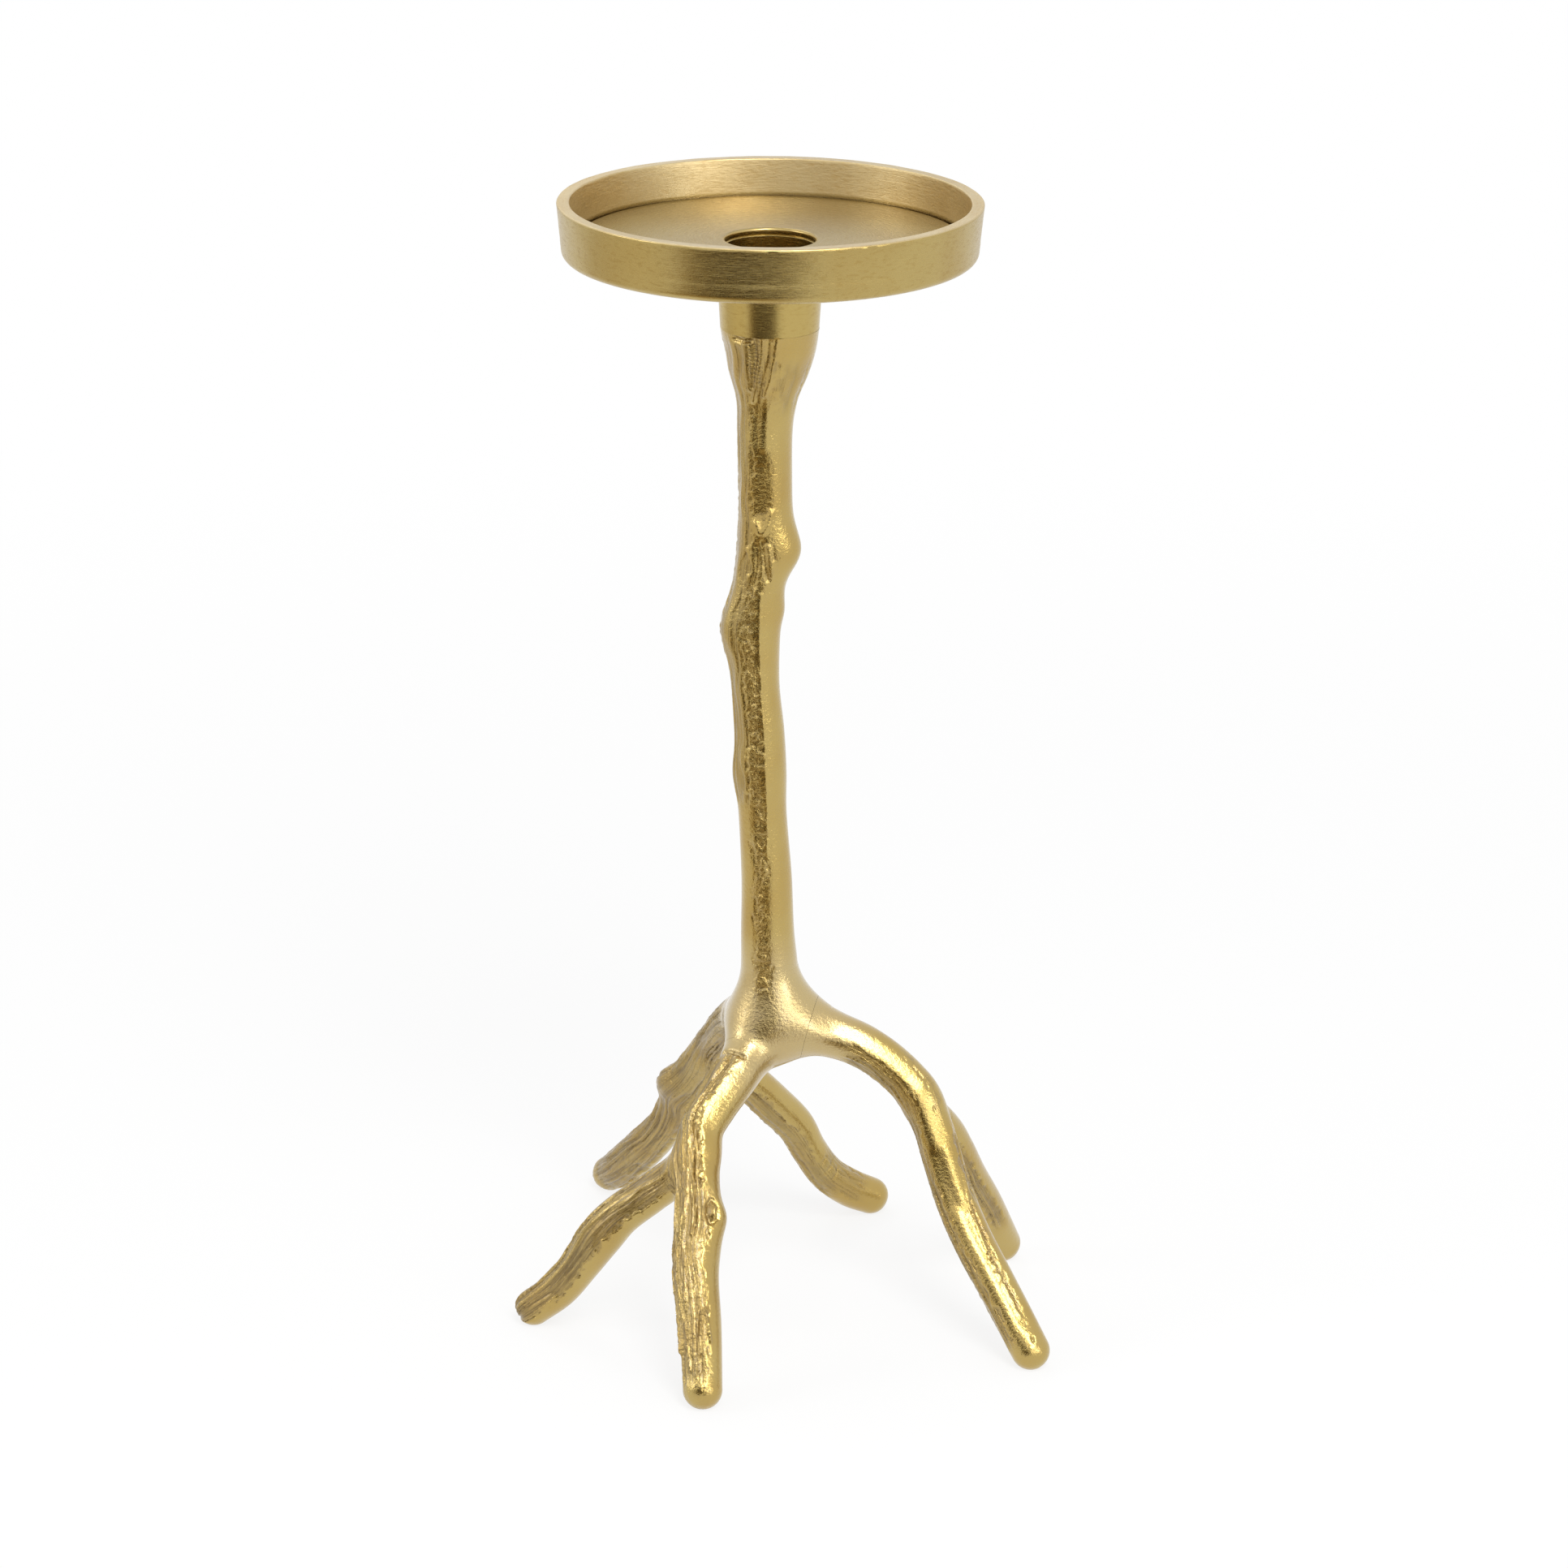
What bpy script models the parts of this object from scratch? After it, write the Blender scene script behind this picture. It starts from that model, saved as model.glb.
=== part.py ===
"""Candle holder cast as a branch: a turned dish on a knotty stem with three forked legs.

Metres, +Z up. The origin is on the floor, in the middle of the six feet.
"""
import math

import bmesh
import bpy
import numpy as np
from mathutils import Matrix, Vector

MM = 0.001

# Overall sizes
TOTAL_HEIGHT = 0.300
HUB_HEIGHT = 0.079
STEM_ACROSS = -0.0046
STEM_AWAY = 0.0014
CLEARANCE = 0.0003

# Dish
DISH_RADIUS = 0.0535
DISH_HEIGHT = 0.0140
DISH_DEPTH = 0.0095
DISH_DRAFT = 0.0011
RIM_THICKNESS = 0.0032
RIM_ROUND = 0.0009
INNER_DRAFT = 0.0012
FLOOR_ROUND = 0.0008
UNDERSIDE_ROUND = 0.0022

# Socket for a dinner candle, in a cup below the dish
SOCKET_RADIUS = 0.0114
SOCKET_TAPER = 0.0008
SOCKET_DEPTH = 0.0185
SOCKET_LIP = 0.0007
CUP_FLOOR = 0.0040
CUP_WALL = 0.0019
CUP_DRAFT = 0.0012

# Screw that holds the dish on the stem
SCREW_RADIUS = 0.0025
SCREW_HEAD_RADIUS = 0.0046
SCREW_HEAD_LAND = 0.0003
SCREW_LENGTH = 0.0160
SCREW_TIP = 0.0006
HEX_RADIUS = 0.00173
HEX_DEPTH = 0.0016

# Studs across the joints
STUD_RADIUS = 0.0020
STUD_LENGTH = 0.0150
STUD_CHAMFER = 0.0004
HUB_STUB = 0.0020
FORK_STUB = 0.0014

# Feet
FOOT_RADIUS = 0.0052
FOOT_FLAT = 0.0007

# Mesh fineness
RING_SPACING = 0.0042
BRANCH_SIDES = 14
STEM_SIDES = 18
DISH_SEGMENTS = 60
SMALL_SEGMENTS = 16
ARC_STEPS = 3
SPAN_SAMPLES = 24
DOME_ANGLES = (24, 48, 70)
SHARP_ANGLE = 35
MERGE_DISTANCE = 0.000001

# Stem stations from the hub up: share of the stem's length, sway across in mm, radius in mm.
# Above the last one the stem meets the cup and has its radius.
STEM_STATIONS = (
    (-0.030, 1.0, 7.2),
    (0.00, 1.2, 9.6),
    (0.045, 1.3, 10.2),
    (0.09, 0.9, 7.9),
    (0.14, 0.4, 7.0),
    (0.22, 0.1, 6.6),
    (0.31, -1.0, 6.3),
    (0.37, -1.6, 6.8),
    (0.43, -2.0, 6.6),
    (0.50, -3.1, 6.3),
    (0.575, -4.4, 7.8),
    (0.64, -2.4, 6.7),
    (0.695, 0.0, 8.4),
    (0.75, -0.8, 6.9),
    (0.85, -1.1, 7.0),
    (0.90, -0.7, 7.8),
    (0.94, -0.3, 10.2),
    (0.975, 0.1, 11.7),
)

# Leg and twig stations from the hub or fork outwards: across and away from the stem in mm,
# height as a share of the hub's height, radius in mm. The last one is the middle of the foot.
FRONT_LEG = (
    (0.0, 0.0, 1.00, 7.4),
    (-7.5, -13.0, 0.88, 6.4),
    (-13.0, -20.5, 0.797, 5.9),
    (-16.6, -26.0, 0.728, 5.8),
    (-17.2, -33.0, 0.614, 5.8),
    (-16.1, -42.0, 0.475, 6.7),
    (-17.2, -50.0, 0.354, 5.9),
    (-16.0, -59.0, 0.220, 5.5),
    (-15.2, -68.3),
)
FRONT_TWIG = (
    (-16.9, -29.0, 0.677, 5.2),
    (-23.0, -27.3, 0.585, 5.2),
    (-30.0, -26.0, 0.506, 5.4),
    (-37.5, -25.0, 0.427, 5.7),
    (-42.8, -24.2, 0.346, 6.1),
    (-48.4, -23.3, 0.234, 5.4),
    (-54.2, -22.2, 0.135, 5.3),
    (-61.0, -20.6),
)
RIGHT_LEG = (
    (0.0, 0.0, 1.00, 7.4),
    (9.1, -1.5, 0.994, 8.2),
    (18.8, -3.0, 0.962, 6.3),
    (26.4, -4.6, 0.927, 5.9),
    (33.8, -6.8, 0.868, 5.8),
    (40.0, -9.5, 0.795, 5.6),
    (44.5, -13.0, 0.684, 5.4),
    (49.4, -19.6, 0.506, 5.3),
    (54.4, -25.9, 0.370, 5.4),
    (60.4, -33.0, 0.248, 5.4),
    (66.0, -39.4, 0.137, 5.3),
    (70.2, -44.4),
)
RIGHT_TWIG = (
    (40.5, -9.8, 0.785, 5.2),
    (47.4, -0.8, 0.614, 5.2),
    (51.2, 3.1, 0.510, 5.3),
    (54.7, 7.5, 0.392, 5.4),
    (59.6, 13.5, 0.249, 5.3),
    (65.4, 21.3),
)
BACK_LEG = (
    (0.0, 0.0, 1.00, 7.4),
    (-6.4, 12.2, 0.948, 6.5),
    (-11.7, 22.6, 0.827, 5.8),
    (-15.3, 30.2, 0.709, 5.8),
    (-22.4, 37.2, 0.563, 7.0),
    (-24.0, 41.5, 0.456, 5.8),
    (-28.6, 46.5, 0.335, 5.4),
    (-33.8, 52.0, 0.235, 5.8),
    (-40.0, 59.5, 0.120, 5.8),
    (-43.9, 65.5),
)
BACK_TWIG = (
    (-15.3, 30.2, 0.709, 5.2),
    (-10.2, 34.0, 0.640, 5.3),
    (-4.0, 37.0, 0.567, 5.4),
    (2.3, 39.5, 0.475, 5.5),
    (8.3, 41.8, 0.382, 5.3),
    (12.2, 43.5, 0.280, 5.0),
    (17.2, 46.0, 0.175, 5.1),
    (23.5, 49.2, 0.101, 5.3),
    (29.6, 51.6),
)

# Finishes: linear colour, roughness, metallic
CAST_GOLD = ((0.60, 0.44, 0.17, 1.0), 0.34, 1.0)
TURNED_GOLD = ((0.64, 0.48, 0.20, 1.0), 0.26, 1.0)
PLAIN_STEEL = ((0.45, 0.45, 0.46, 1.0), 0.38, 1.0)

# Heights that follow from the sizes above
DISH_UNDERSIDE = TOTAL_HEIGHT - DISH_HEIGHT
DISH_FLOOR = TOTAL_HEIGHT - DISH_DEPTH
SOCKET_FLOOR = DISH_FLOOR - SOCKET_DEPTH
CUP_BOTTOM = SOCKET_FLOOR - CUP_FLOOR
CUP_FOOT_RADIUS = SOCKET_RADIUS - SOCKET_TAPER + CUP_WALL
STEM_TOP = CUP_BOTTOM - CLEARANCE
SCREW_HEAD_HEIGHT = SCREW_HEAD_LAND + SCREW_HEAD_RADIUS - SCREW_RADIUS
HOLE_RADIUS = STUD_RADIUS + CLEARANCE
FLOOR_UP = ((0.0, 0.0, 0.0), (0.0, 0.0, 1.0))


class Branch:
    """Smooth centre line with a radius, through hand-picked stations, read by distance along it."""

    def __init__(self, stations):
        knots = np.array(stations)
        ends = np.vstack((2 * knots[0] - knots[1], knots, 2 * knots[-1] - knots[-2]))
        spans = [self.span(ends[i:i + 4]) for i in range(len(knots) - 1)]
        line = np.vstack(spans + [knots[-1:]])
        self.points = line[:, :3]
        self.radii = line[:, 3]
        steps = np.linalg.norm(np.diff(self.points, axis=0), axis=1)
        self.run = np.concatenate(([0.0], np.cumsum(steps)))
        self.length = self.run[-1]

    @staticmethod
    def span(four):
        """Catmull-Rom curve between the middle two of four stations."""
        t = np.linspace(0.0, 1.0, SPAN_SAMPLES, endpoint=False)[:, None]
        a, b, c, d = four
        return 0.5 * (2 * b + (c - a) * t + (2 * a - 5 * b + 4 * c - d) * t ** 2
                      + (3 * b - a - 3 * c + d) * t ** 3)

    def point(self, distance):
        return Vector([np.interp(distance, self.run, self.points[:, i]) for i in range(3)])

    def radius(self, distance):
        return float(np.interp(distance, self.run, self.radii))

    def tangent(self, distance):
        step = RING_SPACING / 2
        ahead = min(distance + step, self.length)
        behind = max(distance - step, 0.0)
        return (self.point(ahead) - self.point(behind)).normalized()


def leg_branch(stations):
    """Branch of a leg or twig; its last station is the middle of a foot that stands on the floor."""
    rows = [(x * MM, y * MM, rise * HUB_HEIGHT, r * MM) for x, y, rise, r in stations[:-1]]
    foot_x, foot_y = stations[-1]
    rows.append((foot_x * MM, foot_y * MM, FOOT_RADIUS - FOOT_FLAT, FOOT_RADIUS))
    return Branch(rows)


def stem_branch():
    """Branch of the stem, from below the hub to above the seat of the cup, where it is cut off."""
    length = STEM_TOP - HUB_HEIGHT
    rows = [(x * MM, 0.0, HUB_HEIGHT + share * length, r * MM) for share, x, r in STEM_STATIONS]
    rows += [(0.0, 0.0, STEM_TOP, CUP_FOOT_RADIUS), (0.0, 0.0, STEM_TOP + RING_SPACING, CUP_FOOT_RADIUS)]
    return Branch(rows)


def clear_distance(branch, other, margin):
    """Distance along a branch at which its whole section stands clear of another branch."""
    turns = np.linspace(0.0, 2 * math.pi, BRANCH_SIDES, endpoint=False)[:, None]
    for distance in np.arange(0.0, branch.length, RING_SPACING / 16):
        direction = branch.tangent(distance)
        start = direction.orthogonal().normalized()
        circle = np.cos(turns) * np.array(start) + np.sin(turns) * np.array(direction.cross(start))
        section = np.array(branch.point(distance)) + branch.radius(distance) * circle
        reach = np.linalg.norm(section[:, None, :] - other.points, axis=2) - other.radii
        if reach.min() >= margin:
            return distance
    raise ValueError("a branch never stands clear of the one it grows from")


def new_object(name, bm, finish, holder):
    """Mesh object with its own material, shaded smooth, under the holder's empty."""
    mesh = bpy.data.meshes.new(name)
    bm.to_mesh(mesh)
    bm.free()
    mesh.shade_smooth()
    mesh.set_sharp_from_angle(angle=math.radians(SHARP_ANGLE))
    colour, roughness, metallic = finish
    material = bpy.data.materials.new(name)
    material.use_nodes = True
    shader = material.node_tree.nodes["Principled BSDF"]
    shader.inputs["Base Color"].default_value = colour
    shader.inputs["Roughness"].default_value = roughness
    shader.inputs["Metallic"].default_value = metallic
    mesh.materials.append(material)
    obj = bpy.data.objects.new(name, mesh)
    bpy.context.collection.objects.link(obj)
    obj.parent = holder
    return obj


def hide_cutter(obj):
    """Mark a shape that only cuts or joins others."""
    obj.hide_render = True
    obj.display_type = "WIRE"
    return obj


def combine(obj, operation, other):
    """Boolean of an object with a helper shape."""
    modifier = obj.modifiers.new(other.name, "BOOLEAN")
    modifier.operation = operation
    modifier.object = hide_cutter(other)


def trim(bm, plane):
    """Cut away what lies behind a plane and close the cut."""
    centre, normal = plane
    geometry = bm.verts[:] + bm.edges[:] + bm.faces[:]
    bmesh.ops.bisect_plane(bm, geom=geometry, plane_co=centre, plane_no=normal, clear_inner=True)
    open_edges = [edge for edge in bm.edges if edge.is_boundary]
    bmesh.ops.holes_fill(bm, edges=open_edges, sides=0)


def ring(bm, centre, direction, start, radius, sides):
    """Circle of vertices around a direction, counted from a start direction."""
    side = direction.cross(start)
    angles = [2 * math.pi * i / sides for i in range(sides)]
    return [bm.verts.new(centre + radius * (math.cos(a) * start + math.sin(a) * side)) for a in angles]


def tube(branch, first, last, sides, dome_start=False, dome_end=False):
    """Closed tube along part of a branch, with a flat or a domed end."""
    bm = bmesh.new()
    count = max(2, round((last - first) / RING_SPACING) + 1)
    places = np.linspace(first, last, count)
    sections = [(branch.point(s), branch.tangent(s), branch.radius(s)) for s in places]
    if dome_start:
        sections = dome(sections[0], -1.0)[::-1] + sections
    if dome_end:
        sections = sections + dome(sections[-1], 1.0)
    start = sections[0][1].orthogonal().normalized()
    rings = []
    for centre, direction, radius in sections:
        start = (start - start.dot(direction) * direction).normalized()
        rings.append(ring(bm, centre, direction, start, radius, sides))
    for lower, upper in zip(rings, rings[1:]):
        for i in range(sides):
            j = (i + 1) % sides
            bm.faces.new((lower[i], lower[j], upper[j], upper[i]))
    bm.faces.new(rings[0][::-1])
    bm.faces.new(rings[-1])
    return bm


def dome(section, sense):
    """Sections that round off the end of a tube."""
    centre, direction, radius = section
    sections = []
    for angle in DOME_ANGLES:
        turn = math.radians(angle)
        end = centre + sense * radius * math.sin(turn) * direction
        sections.append((end, direction, radius * math.cos(turn)))
    return sections


def arc(centre_x, centre_z, radius, first, last):
    """Points of a circular arc in a turned profile, angles in degrees."""
    angles = np.radians(np.linspace(first, last, ARC_STEPS + 1))
    return [(centre_x + radius * math.cos(a), centre_z + radius * math.sin(a)) for a in angles]


def turned(profile, segments, closed):
    """Solid of revolution about Z; a closed profile leaves a hole along the axis."""
    bm = bmesh.new()
    points = [bm.verts.new((x, 0.0, z)) for x, z in profile]
    edges = [bm.edges.new(pair) for pair in zip(points, points[1:])]
    if closed:
        edges.append(bm.edges.new((points[-1], points[0])))
    bmesh.ops.spin(bm, geom=points + edges, cent=(0, 0, 0), axis=(0, 0, 1), angle=2 * math.pi,
                   steps=segments, use_merge=True)
    bmesh.ops.remove_doubles(bm, verts=bm.verts, dist=MERGE_DISTANCE)
    bmesh.ops.recalc_face_normals(bm, faces=bm.faces)
    return bm


def pin_profile(radius, length, chamfer):
    """Half outline of a round pin with chamfered ends, centred on its length."""
    half = length / 2
    return [(0.0, half), (radius - chamfer, half), (radius, half - chamfer),
            (radius, chamfer - half), (radius - chamfer, -half), (0.0, -half)]


def place(obj, centre, direction):
    """Put a piece made along Z at a point, turned to a direction."""
    turn = Vector(direction).to_track_quat("Z", "Y").to_matrix().to_4x4()
    obj.matrix_local = Matrix.Translation(centre) @ turn


def candle_dish(holder):
    """Dish with a drafted wall and round rim, and the socket's cup below it."""
    wall_foot = DISH_RADIUS - DISH_DRAFT
    inner_top = DISH_RADIUS - RIM_THICKNESS
    inner_foot = inner_top - INNER_DRAFT
    cup_top = CUP_FOOT_RADIUS + CUP_DRAFT
    hole = SCREW_RADIUS + CLEARANCE
    sink = SCREW_HEAD_RADIUS + CLEARANCE
    sink_depth = SCREW_HEAD_LAND + CLEARANCE
    profile = arc(DISH_RADIUS - RIM_ROUND, TOTAL_HEIGHT - RIM_ROUND, RIM_ROUND, 90, 0)
    profile += arc(wall_foot - UNDERSIDE_ROUND, DISH_UNDERSIDE + UNDERSIDE_ROUND, UNDERSIDE_ROUND, 0, -90)
    profile += [(cup_top, DISH_UNDERSIDE), (CUP_FOOT_RADIUS, CUP_BOTTOM), (hole, CUP_BOTTOM)]
    profile += [(hole, SOCKET_FLOOR - sink_depth - (sink - hole)), (sink, SOCKET_FLOOR - sink_depth)]
    profile += [(sink, SOCKET_FLOOR), (SOCKET_RADIUS - SOCKET_TAPER, SOCKET_FLOOR)]
    profile += arc(SOCKET_RADIUS + SOCKET_LIP, DISH_FLOOR - SOCKET_LIP, SOCKET_LIP, 180, 90)
    profile += arc(inner_foot - FLOOR_ROUND, DISH_FLOOR + FLOOR_ROUND, FLOOR_ROUND, -90, 0)
    profile += arc(inner_top + RIM_ROUND, TOTAL_HEIGHT - RIM_ROUND, RIM_ROUND, 180, 90)
    return new_object("candle_dish", turned(profile, DISH_SEGMENTS, True), TURNED_GOLD, holder)


def dish_screw(holder):
    """Countersunk screw with a hexagon socket, flush with the floor of the candle socket."""
    top = SOCKET_FLOOR
    tip = top - SCREW_LENGTH
    profile = [(0.0, top), (SCREW_HEAD_RADIUS, top), (SCREW_HEAD_RADIUS, top - SCREW_HEAD_LAND),
               (SCREW_RADIUS, top - SCREW_HEAD_HEIGHT), (SCREW_RADIUS, tip + SCREW_TIP),
               (SCREW_RADIUS - SCREW_TIP, tip), (0.0, tip)]
    screw = new_object("dish_screw", turned(profile, SMALL_SEGMENTS, False), PLAIN_STEEL, holder)
    bm = bmesh.new()
    bmesh.ops.create_cone(bm, cap_ends=True, segments=6, radius1=HEX_RADIUS, radius2=HEX_RADIUS,
                          depth=2 * HEX_DEPTH)
    socket = new_object("hexagon", bm, PLAIN_STEEL, holder)
    place(socket, (0.0, 0.0, top), (0.0, 0.0, 1.0))
    combine(screw, "DIFFERENCE", socket)


def drill_stud_hole(obj, name, branch, distance, sense):
    """Blind hole for half a stud, from a joint into a piece, along the branch at the joint."""
    direction = branch.tangent(distance) * sense
    depth = STUD_LENGTH / 2 + CLEARANCE
    hole = pin_profile(HOLE_RADIUS, 2 * depth, STUD_CHAMFER)
    cutter = new_object(name, turned(hole, SMALL_SEGMENTS, False), PLAIN_STEEL, obj.parent)
    place(cutter, branch.point(distance), direction)
    combine(obj, "DIFFERENCE", cutter)


def joint_stud(name, branch, distance, holder):
    """Steel stud centred on a joint."""
    stud = turned(pin_profile(STUD_RADIUS, STUD_LENGTH, STUD_CHAMFER), SMALL_SEGMENTS, False)
    obj = new_object(name, stud, PLAIN_STEEL, holder)
    place(obj, branch.point(distance), branch.tangent(distance))


def add_stub(obj, name, branch, distance):
    """Short start of a branch that is cast in one with the piece it grows from."""
    stub = new_object(name, tube(branch, 0.0, distance, BRANCH_SIDES), CAST_GOLD, obj.parent)
    combine(obj, "UNION", stub)


def limb(name, branch, joint, holder):
    """Leg or twig from its joint to a foot that is ground flat on the floor."""
    first = joint + CLEARANCE
    bm = tube(branch, first, branch.length, BRANCH_SIDES, dome_end=True)
    trim(bm, FLOOR_UP)
    return new_object(name, bm, CAST_GOLD, holder)


def stem(branch, legs, joints, holder):
    """Stem with a flat seat under the cup, a hub with stubs for the legs, and its drilled holes."""
    bm = tube(branch, 0.0, branch.length, STEM_SIDES, dome_start=True)
    trim(bm, ((0.0, 0.0, STEM_TOP), (0.0, 0.0, -1.0)))
    obj = new_object("stem", bm, CAST_GOLD, holder)
    for name, leg in legs.items():
        add_stub(obj, name + "_stub", leg, joints[name])
    for name, leg in legs.items():
        drill_stud_hole(obj, name + "_stub_hole", leg, joints[name], -1.0)
    depth = SCREW_LENGTH - (SOCKET_FLOOR - STEM_TOP) + CLEARANCE
    hole = pin_profile(SCREW_RADIUS + CLEARANCE, 2 * depth, SCREW_TIP)
    cutter = new_object("screw_hole", turned(hole, SMALL_SEGMENTS, False), PLAIN_STEEL, holder)
    place(cutter, (0.0, 0.0, STEM_TOP), (0.0, 0.0, 1.0))
    combine(obj, "DIFFERENCE", cutter)


def main():
    for obj in list(bpy.data.objects):
        bpy.data.objects.remove(obj)
    holder = bpy.data.objects.new("holder", None)
    bpy.context.collection.objects.link(holder)
    holder.location = (STEM_ACROSS, STEM_AWAY, 0.0)
    trunk = stem_branch()
    legs = {"front": leg_branch(FRONT_LEG), "right": leg_branch(RIGHT_LEG), "back": leg_branch(BACK_LEG)}
    twigs = {"front": leg_branch(FRONT_TWIG), "right": leg_branch(RIGHT_TWIG), "back": leg_branch(BACK_TWIG)}
    joints = {name: clear_distance(leg, trunk, HUB_STUB) for name, leg in legs.items()}
    candle_dish(holder)
    dish_screw(holder)
    stem(trunk, legs, joints, holder)
    for name, leg in legs.items():
        twig = twigs[name]
        joint = joints[name]
        fork = clear_distance(twig, leg, FORK_STUB)
        leg_object = limb(name + "_leg", leg, joint, holder)
        add_stub(leg_object, name + "_fork_stub", twig, fork)
        drill_stud_hole(leg_object, name + "_leg_hole", leg, joint, 1.0)
        drill_stud_hole(leg_object, name + "_fork_hole", twig, fork, -1.0)
        twig_object = limb(name + "_leg_twig", twig, fork, holder)
        drill_stud_hole(twig_object, name + "_twig_hole", twig, fork, 1.0)
        joint_stud(name + "_leg_stud", leg, joint, holder)
        joint_stud(name + "_twig_stud", twig, fork, holder)


main()
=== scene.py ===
"""Branch candle holder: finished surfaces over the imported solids, laid out as an add-on.

Metres, +Z up, in the frame of the solids. The cast branches are worked out in millimetres around the
stem's axis and are put in their place when their meshes are made.
"""
import contextlib
import itertools
import math

import bmesh
import bpy
import numpy as np
from bpy.props import FloatProperty, FloatVectorProperty, PointerProperty
from mathutils import Matrix, Vector


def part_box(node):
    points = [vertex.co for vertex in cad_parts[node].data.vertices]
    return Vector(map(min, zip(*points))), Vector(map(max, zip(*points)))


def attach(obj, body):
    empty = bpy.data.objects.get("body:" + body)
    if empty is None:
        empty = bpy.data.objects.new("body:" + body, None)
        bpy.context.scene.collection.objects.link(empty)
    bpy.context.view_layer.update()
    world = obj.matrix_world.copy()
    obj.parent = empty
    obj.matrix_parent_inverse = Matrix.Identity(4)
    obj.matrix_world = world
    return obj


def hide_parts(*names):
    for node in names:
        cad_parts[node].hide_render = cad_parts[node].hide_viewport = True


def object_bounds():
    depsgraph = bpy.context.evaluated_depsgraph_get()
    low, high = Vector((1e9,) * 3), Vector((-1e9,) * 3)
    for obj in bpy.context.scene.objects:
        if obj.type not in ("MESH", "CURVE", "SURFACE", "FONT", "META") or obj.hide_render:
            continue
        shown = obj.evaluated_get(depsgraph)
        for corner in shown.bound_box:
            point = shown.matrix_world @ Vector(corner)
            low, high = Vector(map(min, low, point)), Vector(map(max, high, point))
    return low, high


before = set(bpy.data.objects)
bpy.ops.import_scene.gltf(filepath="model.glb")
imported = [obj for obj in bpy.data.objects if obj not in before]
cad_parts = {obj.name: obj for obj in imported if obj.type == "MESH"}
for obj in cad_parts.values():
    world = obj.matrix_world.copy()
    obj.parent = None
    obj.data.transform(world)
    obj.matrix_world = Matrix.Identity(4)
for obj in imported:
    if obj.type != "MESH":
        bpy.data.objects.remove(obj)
CAD_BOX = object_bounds()

bl_info = {
    "name": "Branch candle holder",
    "version": (1, 0, 0),
    "blender": (4, 5, 0),
    "location": "3D View > Sidebar > Holder",
    "description": "Builds the finished surfaces of a candle holder cast as a branch",
    "category": "Object",
}

MM = 0.001

# Places read from the solids
DISH_LOW, DISH_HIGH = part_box("candle_dish")
AXIS = np.array(((DISH_LOW.x + DISH_HIGH.x) / 2, (DISH_LOW.y + DISH_HIGH.y) / 2, 0.0))
STEM_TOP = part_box("stem")[1].z
SCREW_LOW, SCREW_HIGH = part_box("dish_screw")

# The branches' course, in mm around the stem's axis: heights of legs and twigs are shares of the hub's
# height, and those of the stem are shares of its length above the hub
HUB_HEIGHT = 79.0
FOOT_RADIUS = 5.1
FOOT_HEIGHT = 4.45
SEAT_RADIUS = 12.5
SEAT_RUN = 4.2
SPAN_SAMPLES = 24

STEM_STATIONS = (
    (-0.030, 1.0, 4.6),
    (0.00, 1.4, 7.6),
    (0.045, 1.3, 8.1),
    (0.09, 0.9, 7.5),
    (0.14, 0.4, 7.0),
    (0.22, 0.1, 6.6),
    (0.31, -1.0, 6.3),
    (0.37, -1.6, 6.8),
    (0.43, -2.0, 6.6),
    (0.50, -3.1, 6.3),
    (0.575, -3.2, 6.5),
    (0.64, -2.4, 6.6),
    (0.695, -1.4, 6.9),
    (0.75, -0.9, 6.9),
    (0.85, -1.1, 7.0),
    (0.90, -0.7, 7.8),
    (0.94, -0.3, 10.2),
    (0.975, 0.1, 11.7),
)
FRONT_LEG = (
    (0.0, 0.0, 0.965, 6.6),
    (-7.5, -13.0, 0.872, 6.3),
    (-13.0, -20.5, 0.797, 5.9),
    (-16.6, -26.0, 0.728, 5.8),
    (-17.2, -33.0, 0.614, 5.8),
    (-16.7, -42.0, 0.475, 6.1),
    (-17.2, -50.0, 0.354, 5.9),
    (-16.0, -59.0, 0.220, 5.5),
    (-15.2, -68.3),
)
FRONT_TWIG = (
    (-16.9, -29.0, 0.677, 3.8),
    (-23.0, -27.3, 0.585, 5.2),
    (-30.0, -26.0, 0.506, 5.4),
    (-37.5, -25.0, 0.427, 5.7),
    (-42.8, -24.2, 0.346, 6.1),
    (-48.4, -23.3, 0.234, 5.4),
    (-54.2, -22.2, 0.135, 5.3),
    (-61.0, -20.6),
)
RIGHT_LEG = (
    (0.0, 0.0, 1.00, 7.4),
    (9.1, -1.5, 0.994, 8.0),
    (18.8, -3.0, 0.962, 6.3),
    (26.4, -4.6, 0.927, 5.9),
    (33.8, -6.8, 0.868, 5.8),
    (40.0, -9.5, 0.795, 5.6),
    (44.5, -13.0, 0.684, 5.4),
    (49.4, -19.6, 0.506, 5.3),
    (54.4, -25.9, 0.370, 5.4),
    (60.4, -33.0, 0.248, 5.4),
    (66.0, -39.4, 0.137, 5.3),
    (70.2, -44.4),
)
RIGHT_TWIG = (
    (40.5, -9.8, 0.785, 3.4),
    (47.4, -0.8, 0.614, 5.2),
    (51.2, 3.1, 0.510, 5.3),
    (54.7, 7.5, 0.392, 5.4),
    (59.6, 13.5, 0.249, 5.3),
    (65.4, 21.3),
)
BACK_LEG = (
    (0.0, 0.0, 1.00, 7.4),
    (-6.4, 12.2, 0.948, 6.5),
    (-11.7, 22.6, 0.827, 5.8),
    (-15.3, 30.2, 0.709, 5.8),
    (-21.4, 37.2, 0.563, 6.2),
    (-24.0, 41.5, 0.456, 5.8),
    (-28.6, 46.5, 0.335, 5.4),
    (-33.8, 52.0, 0.235, 5.8),
    (-40.0, 59.5, 0.120, 5.8),
    (-43.9, 65.5),
)
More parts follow.
